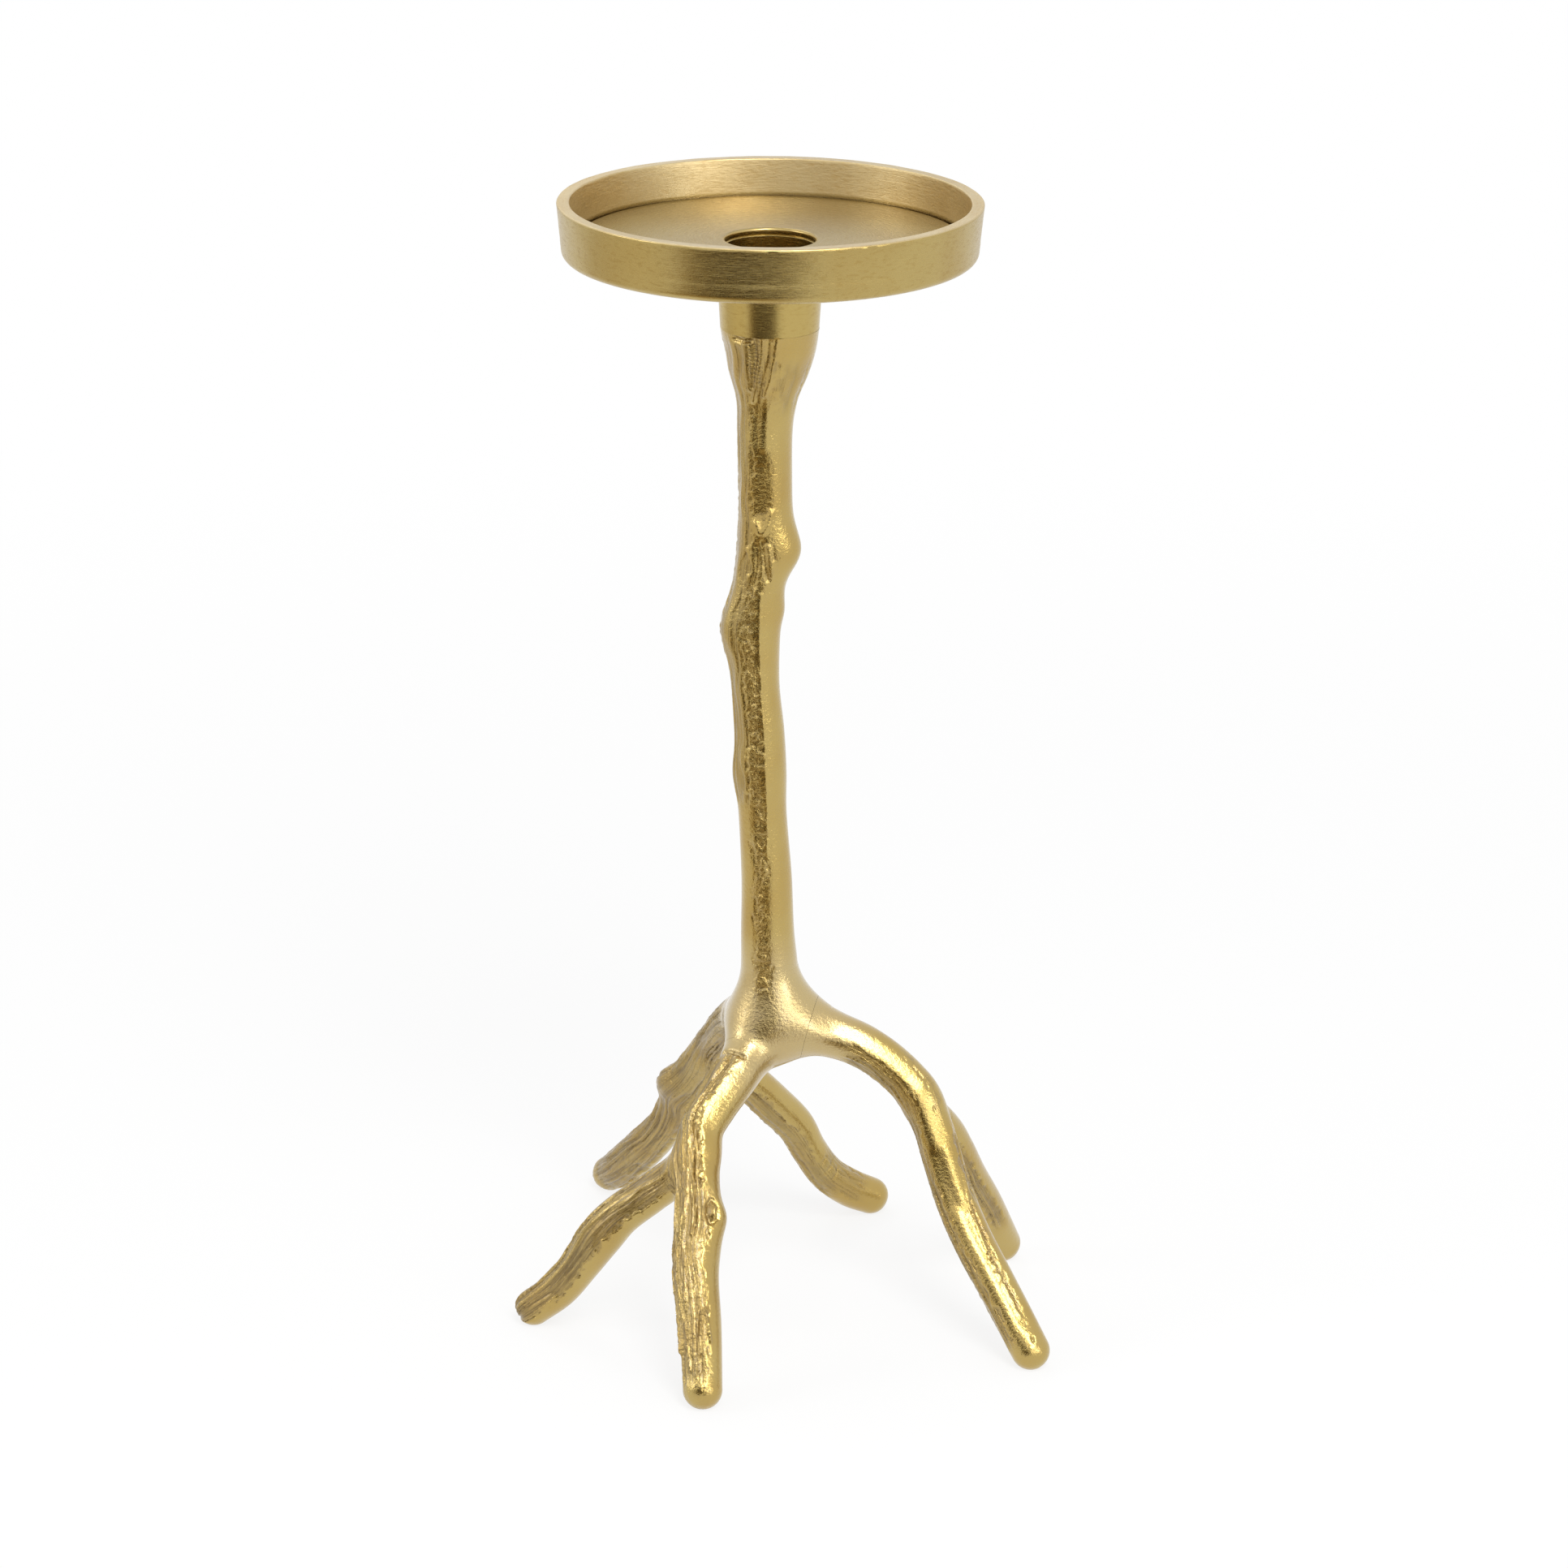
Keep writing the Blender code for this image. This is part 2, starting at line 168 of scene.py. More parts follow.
BACK_TWIG = (
    (-15.3, 30.2, 0.709, 3.8),
    (-10.2, 34.0, 0.640, 5.3),
    (-4.0, 37.0, 0.567, 5.4),
    (2.3, 39.5, 0.475, 5.5),
    (8.3, 41.8, 0.382, 5.3),
    (12.2, 43.5, 0.280, 5.0),
    (17.2, 46.0, 0.175, 5.1),
    (23.5, 49.2, 0.101, 5.3),
    (29.6, 51.6),
)

# Strips of bark left rough between the ground flanks. Around a branch the angle counts in degrees, from the
# front to the right on the stem and from the top on legs and twigs; the run counts in mm from the branch's start.
# Each strip: middle angle, half width, first run, last run, strength, share of pits instead of fibres.
STEM_BARK = (
    (-14, 14, 14, 62, 0.85, 0.9),
    (-9, 14, 56, 106, 0.8, 0.8),
    (-13, 17, 98, 121, 0.85, 0.8),
    (-19, 15, 111, 132, 0.8, 0.6),
    (3, 20, 126, 142, 0.42, 0.6),
    (-4, 17, 143, 163, 0.22, 0.5),
    (-16, 24, 175, 200, 0.4, 0.1),
    (-62, 32, 66, 196, 0.4, 0.0),
    (44, 26, 172, 190, 0.3, 0.0),
    (178, 66, 20, 196, 0.8, 0.1),
)
FRONT_LEG_BARK = (
    (54, 64, 12.6, 56, 0.9, 0.1),
    (40, 72, 50, 69, 0.8, 0.15),
    (50, 64, 62, 105.5, 0.9, 0.35),
    (170, 40, 14.6, 106, 0.4, 0.0),
)
FRONT_TWIG_BARK = ((-26, 76, 6, 76, 0.85, 0.0),)
RIGHT_LEG_BARK = (
    (112, 38, 22, 120, 0.8, 0.2),
    (-32, 12, 57, 80, 0.8, 0.2),
    (-5, 10, 74, 98, 0.8, 0.2),
    (8, 9, 90, 113, 0.7, 0.2),
    (8, 9, 34, 56, 0.6, 0.2),
    (-110, 50, 20, 119, 0.4, 0.0),
)
RIGHT_TWIG_BARK = ((112, 20, 16, 60, 0.8, 0.2), (-90, 60, 8, 80, 0.4, 0.0))
BACK_LEG_BARK = ((-74, 92, 12, 113, 1.0, 0.2), (110, 50, 12, 113, 0.6, 0.0))
BACK_TWIG_BARK = ((134, 38, 8, 62, 0.9, 0.4), (60, 50, 46, 70, 0.5, 0.2), (-120, 50, 8, 70, 0.5, 0.0))

# Knots, one-sided swellings of each branch: run, angle, height in mm, half length in mm, half width in degrees
KNOTS = {
    "stem": (
        (137.0, 80, 3.0, 6.4, 46),
        (115.0, -86, 2.8, 8.2, 46),
        (120.5, 86, 0.7, 4.0, 40),
        (76.0, -78, 0.5, 6.0, 40),
    ),
    "front_leg": (
        (59.4, -72, 1.4, 4.2, 44),
    ),
    "back_leg": (
        (58.0, -52, 2.2, 5.0, 52),
        (47.5, -56, 0.7, 3.6, 40),
    ),
}

# Single grooves, flats and ridges of each branch: half width in mm, height in mm, then runs and angles along the line
LINES = {
    "stem": (
        (1.20, -0.14, ((180, -17), (175, -16), (170, -12), (163, -8))),
        (2.50, -0.42, ((159, -7), (148, -8))),
        (1.30, 0.40, ((178, 0), (171, -2), (165, -3))),
        (1.30, 0.22, ((176, -36), (168, -34), (163, -34))),
        (0.70, 0.55, ((145, -18), (142.6, -11), (142.4, -4), (145, 8), (148, 13))),
        (0.50, 0.75, ((194.8, 9), (193, 7), (188, 5), (184, 3), (179, -4))),
        (0.50, 0.75, ((194.8, -8), (188.7, -11), (181.5, -18), (177, -24))),
        (0.55, 0.55, ((194.8, -31), (186.6, -31), (180, -30))),
        (0.80, -0.45, ((194, -1), (188, -4), (182, -9))),
        (0.90, -0.50, ((194, -20), (187, -22), (181, -25))),
        (0.60, -0.80, ((193.9, -45), (193.7, -36), (193.9, -27))),
        (0.60, -0.40, ((140, -3), (137, 3), (133, 10), (130, 18))),
        (0.70, -0.40, ((139, -14), (134, -8), (128, -12))),
        (0.55, 0.40, ((139, 9), (135, 17), (131, 24))),
        (0.50, 0.22, ((126, 4), (114, 10), (102, 15), (90, 12), (78, 12), (66, 12), (55, 4))),
    ),
    "front_leg": (
        (0.50, -0.85, ((14.9, -27), (14.7, 0), (14.7, 34))),
        (0.42, 0.60, ((17, 40), (30, 44), (50, 42), (66, 48), (76, 62), (83, 65), (88, 49), (100, 40))),
        (0.42, 0.60, ((18, 8), (30, 10), (46, 26), (52, 30), (58, 40), (64, 37), (71, 29), (82, 42))),
        (0.42, 0.60, ((30, -8), (38, -2), (45, 15), (52, 19), (65, 14))),
        (0.42, 0.60, ((17, 70), (35, 72), (55, 75), (75, 90), (95, 76))),
        (0.42, 0.60, ((84, 13), (92, 11), (97, 14), (101, 19))),
        (0.42, 0.60, ((85, -10), (88, -15), (93, -23))),
        (2.30, -0.35, ((19, -36), (30, -40), (44, -36))),
        (0.55, -0.70, ((55.4, -34), (57, -22), (60, -22), (62, -33), (60.5, -46), (57, -46), (55.4, -34))),
        (0.80, 0.50, ((58.3, -34), (59.2, -34))),
    ),
    "right_leg": (
        (2.50, -0.42, ((14, 50), (30, 46), (45, 40), (54, 28), (60, 16))),
        (2.60, -0.55, ((64, 44), (77, 42))),
        (2.80, -0.62, ((81, 22), (95, 16), (114, 15))),
        (0.60, 0.28, ((58, -22), (65, -22), (72, -16), (80, 0), (92, 13), (104, 17), (112, 16))),
        (0.40, -0.50, ((118.6, 14), (119.4, 18))),
    ),
    "back_leg_twig": (
        (0.50, -0.45, ((10, 112), (24, 108), (38, 104), (48, 112))),
        (0.45, -0.30, ((49, 60), (49.6, 100))),
        (0.45, -0.30, ((52, 50), (52.6, 100))),
        (0.45, -0.30, ((55, 50), (55.8, 95))),
    ),
}

# Grain of the cast bark, lengths in mm. Layers of a noise: how much finer, share, step of the seed.
STREAK_LENGTH = 42.0
STREAK_WIDTH = 1.2
GRAIN_ROUND = 6.0
GROOVE_SHARPNESS = 0.34
FINE_SHARE = 0.35
PIT_LENGTH = 1.5
PIT_WIDTH = 1.25
PIT_SHARE = 0.5
SLANT = np.array(((0.8, 0.48, 0.36), (-0.6, 0.64, 0.48), (0.0, -0.6, 0.8)))
PIT_LAYERS = ((1.0, 0.8, 4), (2.1, 0.5, 8))
PIT_WARP = 2.0
PIT_RIM = (0.3, -0.4)
PIT_LEVEL = 0.5
GRAIN_LEVEL = 0.3
FINE_TIMES = 2.3
WARP_STRETCH = (0.16, 0.25, 0.25)
WARP_WAY = np.array((0.0, 0.55, 0.55))
EDGE_WANDER = 7.0
WANDER_STRETCH = (0.22, 0.3, 0.3)
EDGE_RAG = 11.0
RAG_STRETCH = 0.9
FLANK_WAVE = 0.12
FLANK_PITCH = 9.0
STRIP_SOFTNESS = 5.5
END_SOFTNESS = 5.0

# Rungs across the bark on the stem's head: runs over which they come and go, middle angle and half widths
RUNGS_COME = (180, 184)
RUNGS_GO = (195, 192)
RUNGS_MIDDLE = -19
RUNGS_HALF = (12, 7)

# Scattered numbers
HASH_PRIMES = (73856093, 19349663, 83492791)
HASH_SEED = 668265263
HASH_MIXES = ((13, 1274126177), (15, 2246822519))
HASH_MASK = 0xFFFFFFFF
HASH_SKIP = 8
HASH_TOP = 0xFFFF

# How the castings are skinned
FRONT_FILLET = 5.0
RIGHT_FILLET = 10.0
BACK_FILLET = 6.5
FORK_FILLET = 4.5
TUBE_SIDES = 20
TUBE_PITCH = 2.0
DOME_STEPS = 5
SETTLE_STEPS = 5
LEAST_SLOPE = 0.2
LEAST_SHARE = 0.002
LEAST_AWAY = 1e-6
LEAST_LENGTH = 1e-9
MOST_AHEAD = 1.0
GRAIN_APART = 10.0
FAR = 60.0
REACH = 16.0
SAW_REACH = 15.0
VALLEY_SIDE = 0.8
LEGS = 3
CHUNK = 40000
CASTING_SHARP = math.radians(48)
MOST_TRIANGLES = 200000

# Studs and the dish's screw
STUD_RADIUS = 2.0 * MM
STUD_LENGTH = 15.0 * MM
STUD_CHAMFER = 0.5 * MM
STUD_THREAD = 0.7 * MM
HOLE_MARGIN = 0.3 * MM
SCREW_RADIUS = 2.5 * MM
SCREW_HEAD_RADIUS = 4.6 * MM
SCREW_HEAD_LAND = 0.3 * MM
SCREW_THREAD = 0.8 * MM
SCREW_TIP = 0.6 * MM
HEX_FLAT = 1.5 * MM
HEX_DEPTH = 1.6 * MM
HEX_CHAMFER = 0.25 * MM
HEX_NARROWING = 0.94
THREAD_DEPTH = 0.55
THREAD_CREST = 1.5
THREAD_STEEPNESS = 4.0
THREAD_ROWS = 10
SMALL_COLUMNS = 48

# Dish
DISH_HEIGHT = 14.0 * MM
DISH_DEPTH = 9.5 * MM
DISH_DRAFT = 1.1 * MM
RIM_THICKNESS = 3.2 * MM
RIM_ROUND = 0.35 * MM
INNER_DRAFT = 1.2 * MM
FLOOR_GROOVE = 1.1 * MM
GROOVE_WIDTH = 0.8 * MM
RING_GROOVE = 0.25 * MM
RING_DEPTH = 1.6 * MM
SEAM = 0.04 * MM
UNDERSIDE_ROUND = 2.2 * MM
SOCKET_RADIUS = 11.4 * MM
SOCKET_TAPER = 0.8 * MM
SOCKET_LIP = 0.7 * MM
CUP_WALL = 1.9 * MM
CUP_DRAFT = 1.2 * MM
CUP_SWELL = 0.5 * MM
# Curve from the bottom into the cup: shares of its draft, of its swell outwards and of its swell down
CUP_CURVE = ((1.0, 2.0, 0.0), (1.0, 0.5, 1.0), (0.8, 0.0, 4.0))
TOOL_RING = 0.008 * MM
TOOL_PITCH = 2.4 * MM
DISH_COLUMNS = 256
DISH_PITCH = 0.55 * MM
ARC_STEPS = 7
DISH_SHARP = math.radians(40)
RIM_WAVE = 4.0 * MM
RIM_ROUNDS = 9.0
# Layers of the rim's noise: how much finer, share, seed
RIM_LAYERS = ((1.0, 1.0, 5), (2.3, 0.5, 6))
WANDER_MOST = 1.5
WALL_SHARES = (0.9, 0.96)
FLOOR_MARGIN = 0.1 * MM
FLOOR_PALENESS = 0.2
# Crease at the inner wall's foot that takes painted shade: how far it reaches from the wall, and the depths at which
# it starts and is full
CREASE_REACH = 0.9 * GROOVE_WIDTH
CREASE_START = 1.6 * DISH_PITCH
CREASE_FULL = 0.4 * DISH_PITCH
DOUBLES = 1e-6

# Ground hub: its middle, and the distances from it at which the grinding ends and is full
# The hub's paler gold is partly the ground finish and partly a painted highlight of the key light
HUB_PLACE = tuple(AXIS + np.array((4.0, -4.0, HUB_HEIGHT)) * MM)
GROUND_REACH = 30.0 * MM
GROUND_FULL = 15.0 * MM

# Clear lacquer over the gold, tints that dull the gold, and the tint of the painted shade on the dish's floor
LACQUER = 0.45
LACQUER_ON_BARK = 0.2
LACQUER_ON_HUB = 0.5
DISH_LACQUER = 0.12
COAT_ROUGHNESS = 0.14
DULL_TINT = (0.84, 0.76, 0.62, 1.0)
DISH_FLOOR_SHADE_TINT = (0.74, 0.73, 0.68, 1.0)
BARK_TINT = (0.82, 0.78, 0.86, 1.0)
WARM_SHARES = (0.93, 0.86, 0.74)

# Noises of the finishes: stretch for each axis, detail and, where it isn't the usual one, roughness. Those on the
# grain count per mm along and around the branch, those on the lathe per mm along the profile, the others per metre.
FIBRE = ((0.05, 1.0, 1.0), 2.0)
STREAK = ((0.16, 1.9, 1.9), 4.0)
CAST_SAND = ((2600.0, 2600.0, 2600.0), 2.0)
CAST_SPECK = ((1200.0, 1200.0, 1200.0), 3.0)
CAST_CLOUD = ((70.0, 70.0, 70.0), 2.0)
HUB_SCRATCH = ((300.0, 1500.0, 2600.0), 3.0)
DISH_BRUSH = ((5.5, 0.16, 0.16), 3.0, 0.6)
DISH_GRAIN = ((1.6, 0.5, 0.5), 3.0)
DISH_SAND = ((2300.0, 2300.0, 2300.0), 2.0)
DISH_CLOUD = ((48.0, 48.0, 48.0), 2.0)
STEEL_SCRATCH = ((900.0, 900.0, 5200.0), 3.0)
STEEL_STAIN = ((420.0, 420.0, 420.0), 3.0)

# Values of a noise or wave between which a mark comes
CRACK_EDGES = (0.07, 0.0)
PIT_EDGES = (-0.04, -0.22)
RUNG_EDGES = (0.2, -0.8)
CLOUD_EDGES = (-0.25, 0.25)
DULL_EDGES = (0.02, -0.22)
ROUGH_CAST_EDGES = (-0.12, 0.14)
STAIN_EDGES = (-0.2, 0.2)
RUNG_TURN = 5.6
RUNG_SWAY = 11.0

# Shares in the castings' colour, roughness and bump
# The shares of painted shade darken the gold in the bark's grooves, cracks, pits and rungs, where shade falls
GROOVE_PAINTED_SHADE = 0.65
PITTED_LESS_PAINTED_SHADE = 0.58
CRACK_PAINTED_SHADE = 0.42
PIT_PAINTED_SHADE = 0.12
RUNG_PAINTED_SHADE = 0.4
BARK_DULL = 0.45
HUB_PALE_AND_HIGHLIGHT = 0.45
CAST_ROUGHNESS = 0.23
BARK_ROUGHER = 0.03
DARK_ROUGHER = 0.14
CLOUD_ROUGHER = 0.08
HUB_ROUGHER = 0.05
SCRATCH_HEIGHT = 0.4
SAND_HEIGHT = 0.35
BARK_SAND = 0.5
SPECK_HEIGHT = 1.1
BARK_SPECK = 0.2
PITTED_SPECK = 0.8
CRACK_HEIGHT = 0.9
PIT_HEIGHT = 0.4
STREAK_HEIGHT = 0.5
RUNG_HEIGHT = 0.40
CAST_BUMP = 0.12 * MM

# Shares in the dish's colour, roughness and bump
ROUGH_CAST_DULL = 0.4
GRAIN_DULL = 0.45
# Painted shade in the crease at the foot of the inner wall
CREASE_PAINTED_SHADE = 0.9
DISH_ROUGHNESS = 0.26
DULL_ROUGHER = 0.06
BRUSH_ROUGHER = 0.12
RIM_ROUGHER = 0.10
CUP_SMOOTHER = 0.04
BRUSH_HEIGHT = 0.40
BRUSH_LOST = 0.6
DISH_GRAIN_HEIGHT = 0.5
DISH_SAND_HEIGHT = 0.22
EVEN_GRAIN = 0.45
ROUGH_GRAIN = 0.55
CUP_FLATTER = 0.5
DISH_BUMP = 0.09 * MM
DISH_BRUSHED = 0.55

# Shares in the steel's colour, roughness and bump
STEEL_DIM = 0.72
STEEL_ROUGHNESS = 0.30
STAIN_ROUGHER = 0.14
SCRATCH_ROUGHER = 0.1
STEEL_BUMP = 0.02 * MM

# Sockets of the Mix node that carry colours
MIX_FIRST = 6
MIX_SECOND = 7
MIX_RESULT = 2

# Stage
CAMERA_PLACE = (-0.0001, -1.1486, 0.557)
CAMERA_PITCH = math.radians(19.69)
CAMERA_ROLL = math.radians(0.45)
CAMERA_LENS = 107.6
CAMERA_SENSOR = 36.0
FLOOR_RINGS = (0.001, 0.2, 0.5, 1.2, 2.5, 5.0)
FLOOR_COLUMNS = 64
FLOOR_SHINE = 0.82
FLOOR_FADE = (0.15, 0.9)
WORLD_LIGHT = 0.6
WHITE = (1.0, 1.0, 1.0, 1.0)
LAMP_TARGET = (0.0, 0.0, 0.12)
LAMPS = (
    ("softbox_front", (0.34, -0.93, 1.36), 0.55, 0.85, 13.0),
    ("softbox_left", (-1.35, -0.3, 0.75), 0.6, 0.6, 3.5),
    ("softbox_right", (1.05, -1.0, 0.42), 0.5, 0.4, 2.4),
    ("softbox_low", (0.50, -1.05, 0.50), 0.5, 0.5, 1.2),
    ("softbox_back", (-0.5, 1.2, 1.7), 0.7, 0.7, 3.5),
)
FLAG_LIFT = 0.002
FLAGS = (
    ("flag_near", (0.40, 0.31, 0.17), ((-0.27, -0.12, 0.0), (0.03, -0.12, 0.0), (0.08, -0.42, 0.0),
                                       (0.11, -0.5, 0.0), (-0.37, -0.5, 0.0))),
    ("flag_floor", (0.075, 0.048, 0.02), ((-0.37, -0.5, 0.0), (0.11, -0.5, 0.0), (0.22, -0.57, 0.0),
                                          (0.24, -0.75, 0.0), (0.12, -1.0, 0.0), (-0.72, -1.0, 0.0))),
    ("flag_stand", (0.075, 0.048, 0.02), ((-0.26, -0.30, 0.0), (0.03, -0.34, 0.0),
                                          (0.03, -0.34, 0.165), (-0.26, -0.30, 0.165))),
    ("flag_side", (0.30, 0.21, 0.10), ((-0.27, -0.12, 0.0), (-0.37, -0.5, 0.0), (-0.72, -1.0, 0.0),
                                       (-0.95, -1.0, 0.0), (-0.50, -0.42, 0.0), (-0.35, -0.12, 0.0))),
    ("flag_left", (0.80, 0.76, 0.68), ((-0.30, -0.20, 0.0), (-0.30, 0.15, 0.0),
                                       (-1.5, 0.8, 0.0), (-1.5, -0.9, 0.0))),
)


class HolderSizes(bpy.types.PropertyGroup):
    """Sizes of the surface detail"""

    bark_depth: FloatProperty(name="Bark depth", description="Depth of the grooves in the bark",
                              default=0.80 * MM, unit="LENGTH", precision=5)
    skin_pitch: FloatProperty(name="Skin pitch", description="Size of a face on the castings",
                              default=0.37 * MM, unit="LENGTH", precision=5)
    joint_gap: FloatProperty(name="Joint gap", description="Width of the seam at each joint",
                             default=0.06 * MM, unit="LENGTH", precision=5)
    rim_wander: FloatProperty(name="Rim wander", description="Unevenness of the dish's hand-ground rim",
                              default=0.10 * MM, unit="LENGTH", precision=5)


class HolderColours(bpy.types.PropertyGroup):
    """Colours of the finishes and the stage"""

    cast_gold: FloatVectorProperty(name="Cast gold", description="Gold finish of the castings",
                                   default=(0.50, 0.37, 0.122), subtype="COLOR")
    # Gold of the painted shade in the bark's grooves, cracks, pits and rungs, and in the dish's crease
    painted_groove_shade: FloatVectorProperty(name="Painted groove shade", description="Darkened gold in the bark's grooves",
                                    default=(0.20, 0.135, 0.05), subtype="COLOR")
    turned_gold: FloatVectorProperty(name="Turned gold", description="Gold finish of the dish",
                                     default=(0.485, 0.365, 0.135), subtype="COLOR")
    # On the hub this paler gold is partly the ground finish and partly a painted highlight
    rim_gold: FloatVectorProperty(name="Rim gold", description="Paler gold of the ground rim and hub",
                                  default=(0.58, 0.465, 0.255), subtype="COLOR")
    steel: FloatVectorProperty(name="Steel", description="Screw and studs",
                               default=(0.45, 0.45, 0.46), subtype="COLOR")
    floor: FloatVectorProperty(name="Floor", description="Pale floor of the stage",
                               default=(0.90, 0.90, 0.90), subtype="COLOR")


class Wire:
    """One output on its way through a material; arithmetic on it adds Math nodes."""

    def __init__(self, sheet, socket):
        self.sheet = sheet
        self.socket = socket

    def math(self, operation, first, second):
        return self.sheet.node("ShaderNodeMath", {"operation": operation}, {0: first, 1: second})

    def __add__(self, other):
        return self.math("ADD", self, other)

    def __sub__(self, other):
        return self.math("SUBTRACT", self, other)

    def __rsub__(self, other):
        return self.math("SUBTRACT", other, self)

    def __mul__(self, other):
        return self.math("MULTIPLY", self, other)

    __radd__ = __add__
    __rmul__ = __mul__


class Sheet:
    """Node sheet of one material or of the world."""

    def __init__(self, owner):
        owner.use_nodes = True
        self.tree = owner.node_tree
        self.tree.nodes.clear()

    def node(self, kind, settings, sockets, output=0):
        """Add a node: its settings first, then a value or a link for each socket; gives one output."""
        node = self.tree.nodes.new(kind)
        for name, value in settings.items():
            setattr(node, name, value)
        for key, value in sockets.items():
            if isinstance(value, Wire):
                self.tree.links.new(value.socket, node.inputs[key])
            else:
                node.inputs[key].default_value = value
        return Wire(self, node.outputs[output]) if node.outputs else None

    def attribute(self, name, output="Fac"):
        return self.node("ShaderNodeAttribute", {"attribute_name": name}, {}, output)

    def place(self):
        return self.node("ShaderNodeTexCoord", {}, {}, "Object")

    def noise(self, vector, stretch, detail, roughness=0.5):
        """Noise of -0.5 to 0.5 on coordinates that are first multiplied by a stretch for each axis."""
        place = self.node("ShaderNodeVectorMath", {"operation": "MULTIPLY"}, {0: vector, 1: stretch})
        value = self.node("ShaderNodeTexNoise", {}, {"Vector": place, "Scale": 1.0, "Detail": detail,
                                                     "Roughness": roughness})
        return value - 0.5

    def between(self, value, low, high):
        """Smooth step of a value from 0 at low to 1 at high."""
        return self.node("ShaderNodeMapRange", {"interpolation_type": "SMOOTHSTEP"},
                         {"Value": value, "From Min": low, "From Max": high})

    def mix(self, share, first, second, blend="MIX"):
        """Mix two colours."""
        settings = {"data_type": "RGBA", "blend_type": blend}
        sockets = {"Factor": share, MIX_FIRST: first, MIX_SECOND: second}
        return self.node("ShaderNodeMix", settings, sockets, MIX_RESULT)

    def metal(self, colour, roughness, height, depth, coat, brushed=0.0):
        """Finish the sheet as a metal, brushed around or plain, with a bump of a depth in metres and a clear coat."""
        bump = self.node("ShaderNodeBump", {}, {"Height": height, "Strength": 1.0, "Distance": depth})
        shader = self.node("ShaderNodeBsdfPrincipled", {}, {
            "Base Color": colour, "Roughness": roughness, "Metallic": 1.0, "Normal": bump,
            "Coat Weight": coat, "Coat Roughness": COAT_ROUGHNESS, "Anisotropic": brushed})
        self.node("ShaderNodeOutputMaterial", {}, {"Surface": shader})


def new_material(name):
    """Material and its empty sheet."""
    material = bpy.data.materials.new(name)
    return material, Sheet(material)


def opaque(colour):
    return (*colour, 1.0)


def cast_gold():
    """Gold on sand-cast metal: satin where it is ground, fibrous in the bark, with painted shade in the bark's
    grooves.
    """
    colours = bpy.context.scene.holder_colours
    material, sheet = new_material("cast_gold_finish")
    bark, groove, pitted, ladder = (sheet.attribute(name) for name in ("bark", "groove", "pitted", "ladder"))
    grain = sheet.attribute("grain", "Vector")
    place = sheet.place()
    fibre, streak = (sheet.noise(grain, *kind) for kind in (FIBRE, STREAK))
    sand, speck, cloud, scratch = (sheet.noise(place, *kind)
                                   for kind in (CAST_SAND, CAST_SPECK, CAST_CLOUD, HUB_SCRATCH))
    crack = sheet.between(sheet.node("ShaderNodeMath", {"operation": "ABSOLUTE"}, {0: fibre}), *CRACK_EDGES)
    crack = crack * (1.0 - pitted)
    along = sheet.node("ShaderNodeSeparateXYZ", {}, {0: grain})
    rung = sheet.node("ShaderNodeMath", {"operation": "SINE"}, {0: along * RUNG_TURN + streak * RUNG_SWAY})
    pit = sheet.between(speck, *PIT_EDGES)
    # Painted shade: the gold darkens with the depth of the cut, and in the cracks, pits and rungs
    dark = groove * (GROOVE_PAINTED_SHADE - pitted * PITTED_LESS_PAINTED_SHADE) + bark * (crack * CRACK_PAINTED_SHADE + pit * PIT_PAINTED_SHADE)
    dark = dark + ladder * sheet.between(rung, *RUNG_EDGES) * RUNG_PAINTED_SHADE
    dark = sheet.node("ShaderNodeClamp", {}, {"Value": dark})
    hub = sheet.node("ShaderNodeVectorMath", {"operation": "DISTANCE"}, {0: place, 1: HUB_PLACE}, "Value")
    ground = sheet.between(hub, GROUND_REACH, GROUND_FULL) * (1.0 - bark)
    warm = [part * share for part, share in zip(colours.cast_gold, WARM_SHARES)]
    gold = sheet.mix(sheet.between(cloud, *CLOUD_EDGES), opaque(colours.cast_gold), opaque(warm))
    gold = sheet.mix(bark * BARK_DULL, gold, BARK_TINT, "MULTIPLY")
    # Paler gold at the hub: partly the ground finish, partly a painted highlight of the key light
    gold = sheet.mix(ground * HUB_PALE_AND_HIGHLIGHT, gold, opaque(colours.rim_gold))
    # The painted shade mixes the darker groove gold into the colour
    colour = sheet.mix(dark, gold, opaque(colours.painted_groove_shade))
    roughness = (CAST_ROUGHNESS + bark * BARK_ROUGHER + dark * DARK_ROUGHER + cloud * CLOUD_ROUGHER
                 + ground * HUB_ROUGHER)
    height = (ground * scratch * SCRATCH_HEIGHT + sand * (SAND_HEIGHT + bark * BARK_SAND)
              + speck * (SPECK_HEIGHT + bark * BARK_SPECK + pitted * PITTED_SPECK))
    height = height - bark * (crack * CRACK_HEIGHT + pit * PIT_HEIGHT)
    height = height + bark * streak * STREAK_HEIGHT + ladder * rung * RUNG_HEIGHT
    sheet.metal(colour, roughness, height, CAST_BUMP, LACQUER + bark * LACQUER_ON_BARK + ground * LACQUER_ON_HUB)
    return material


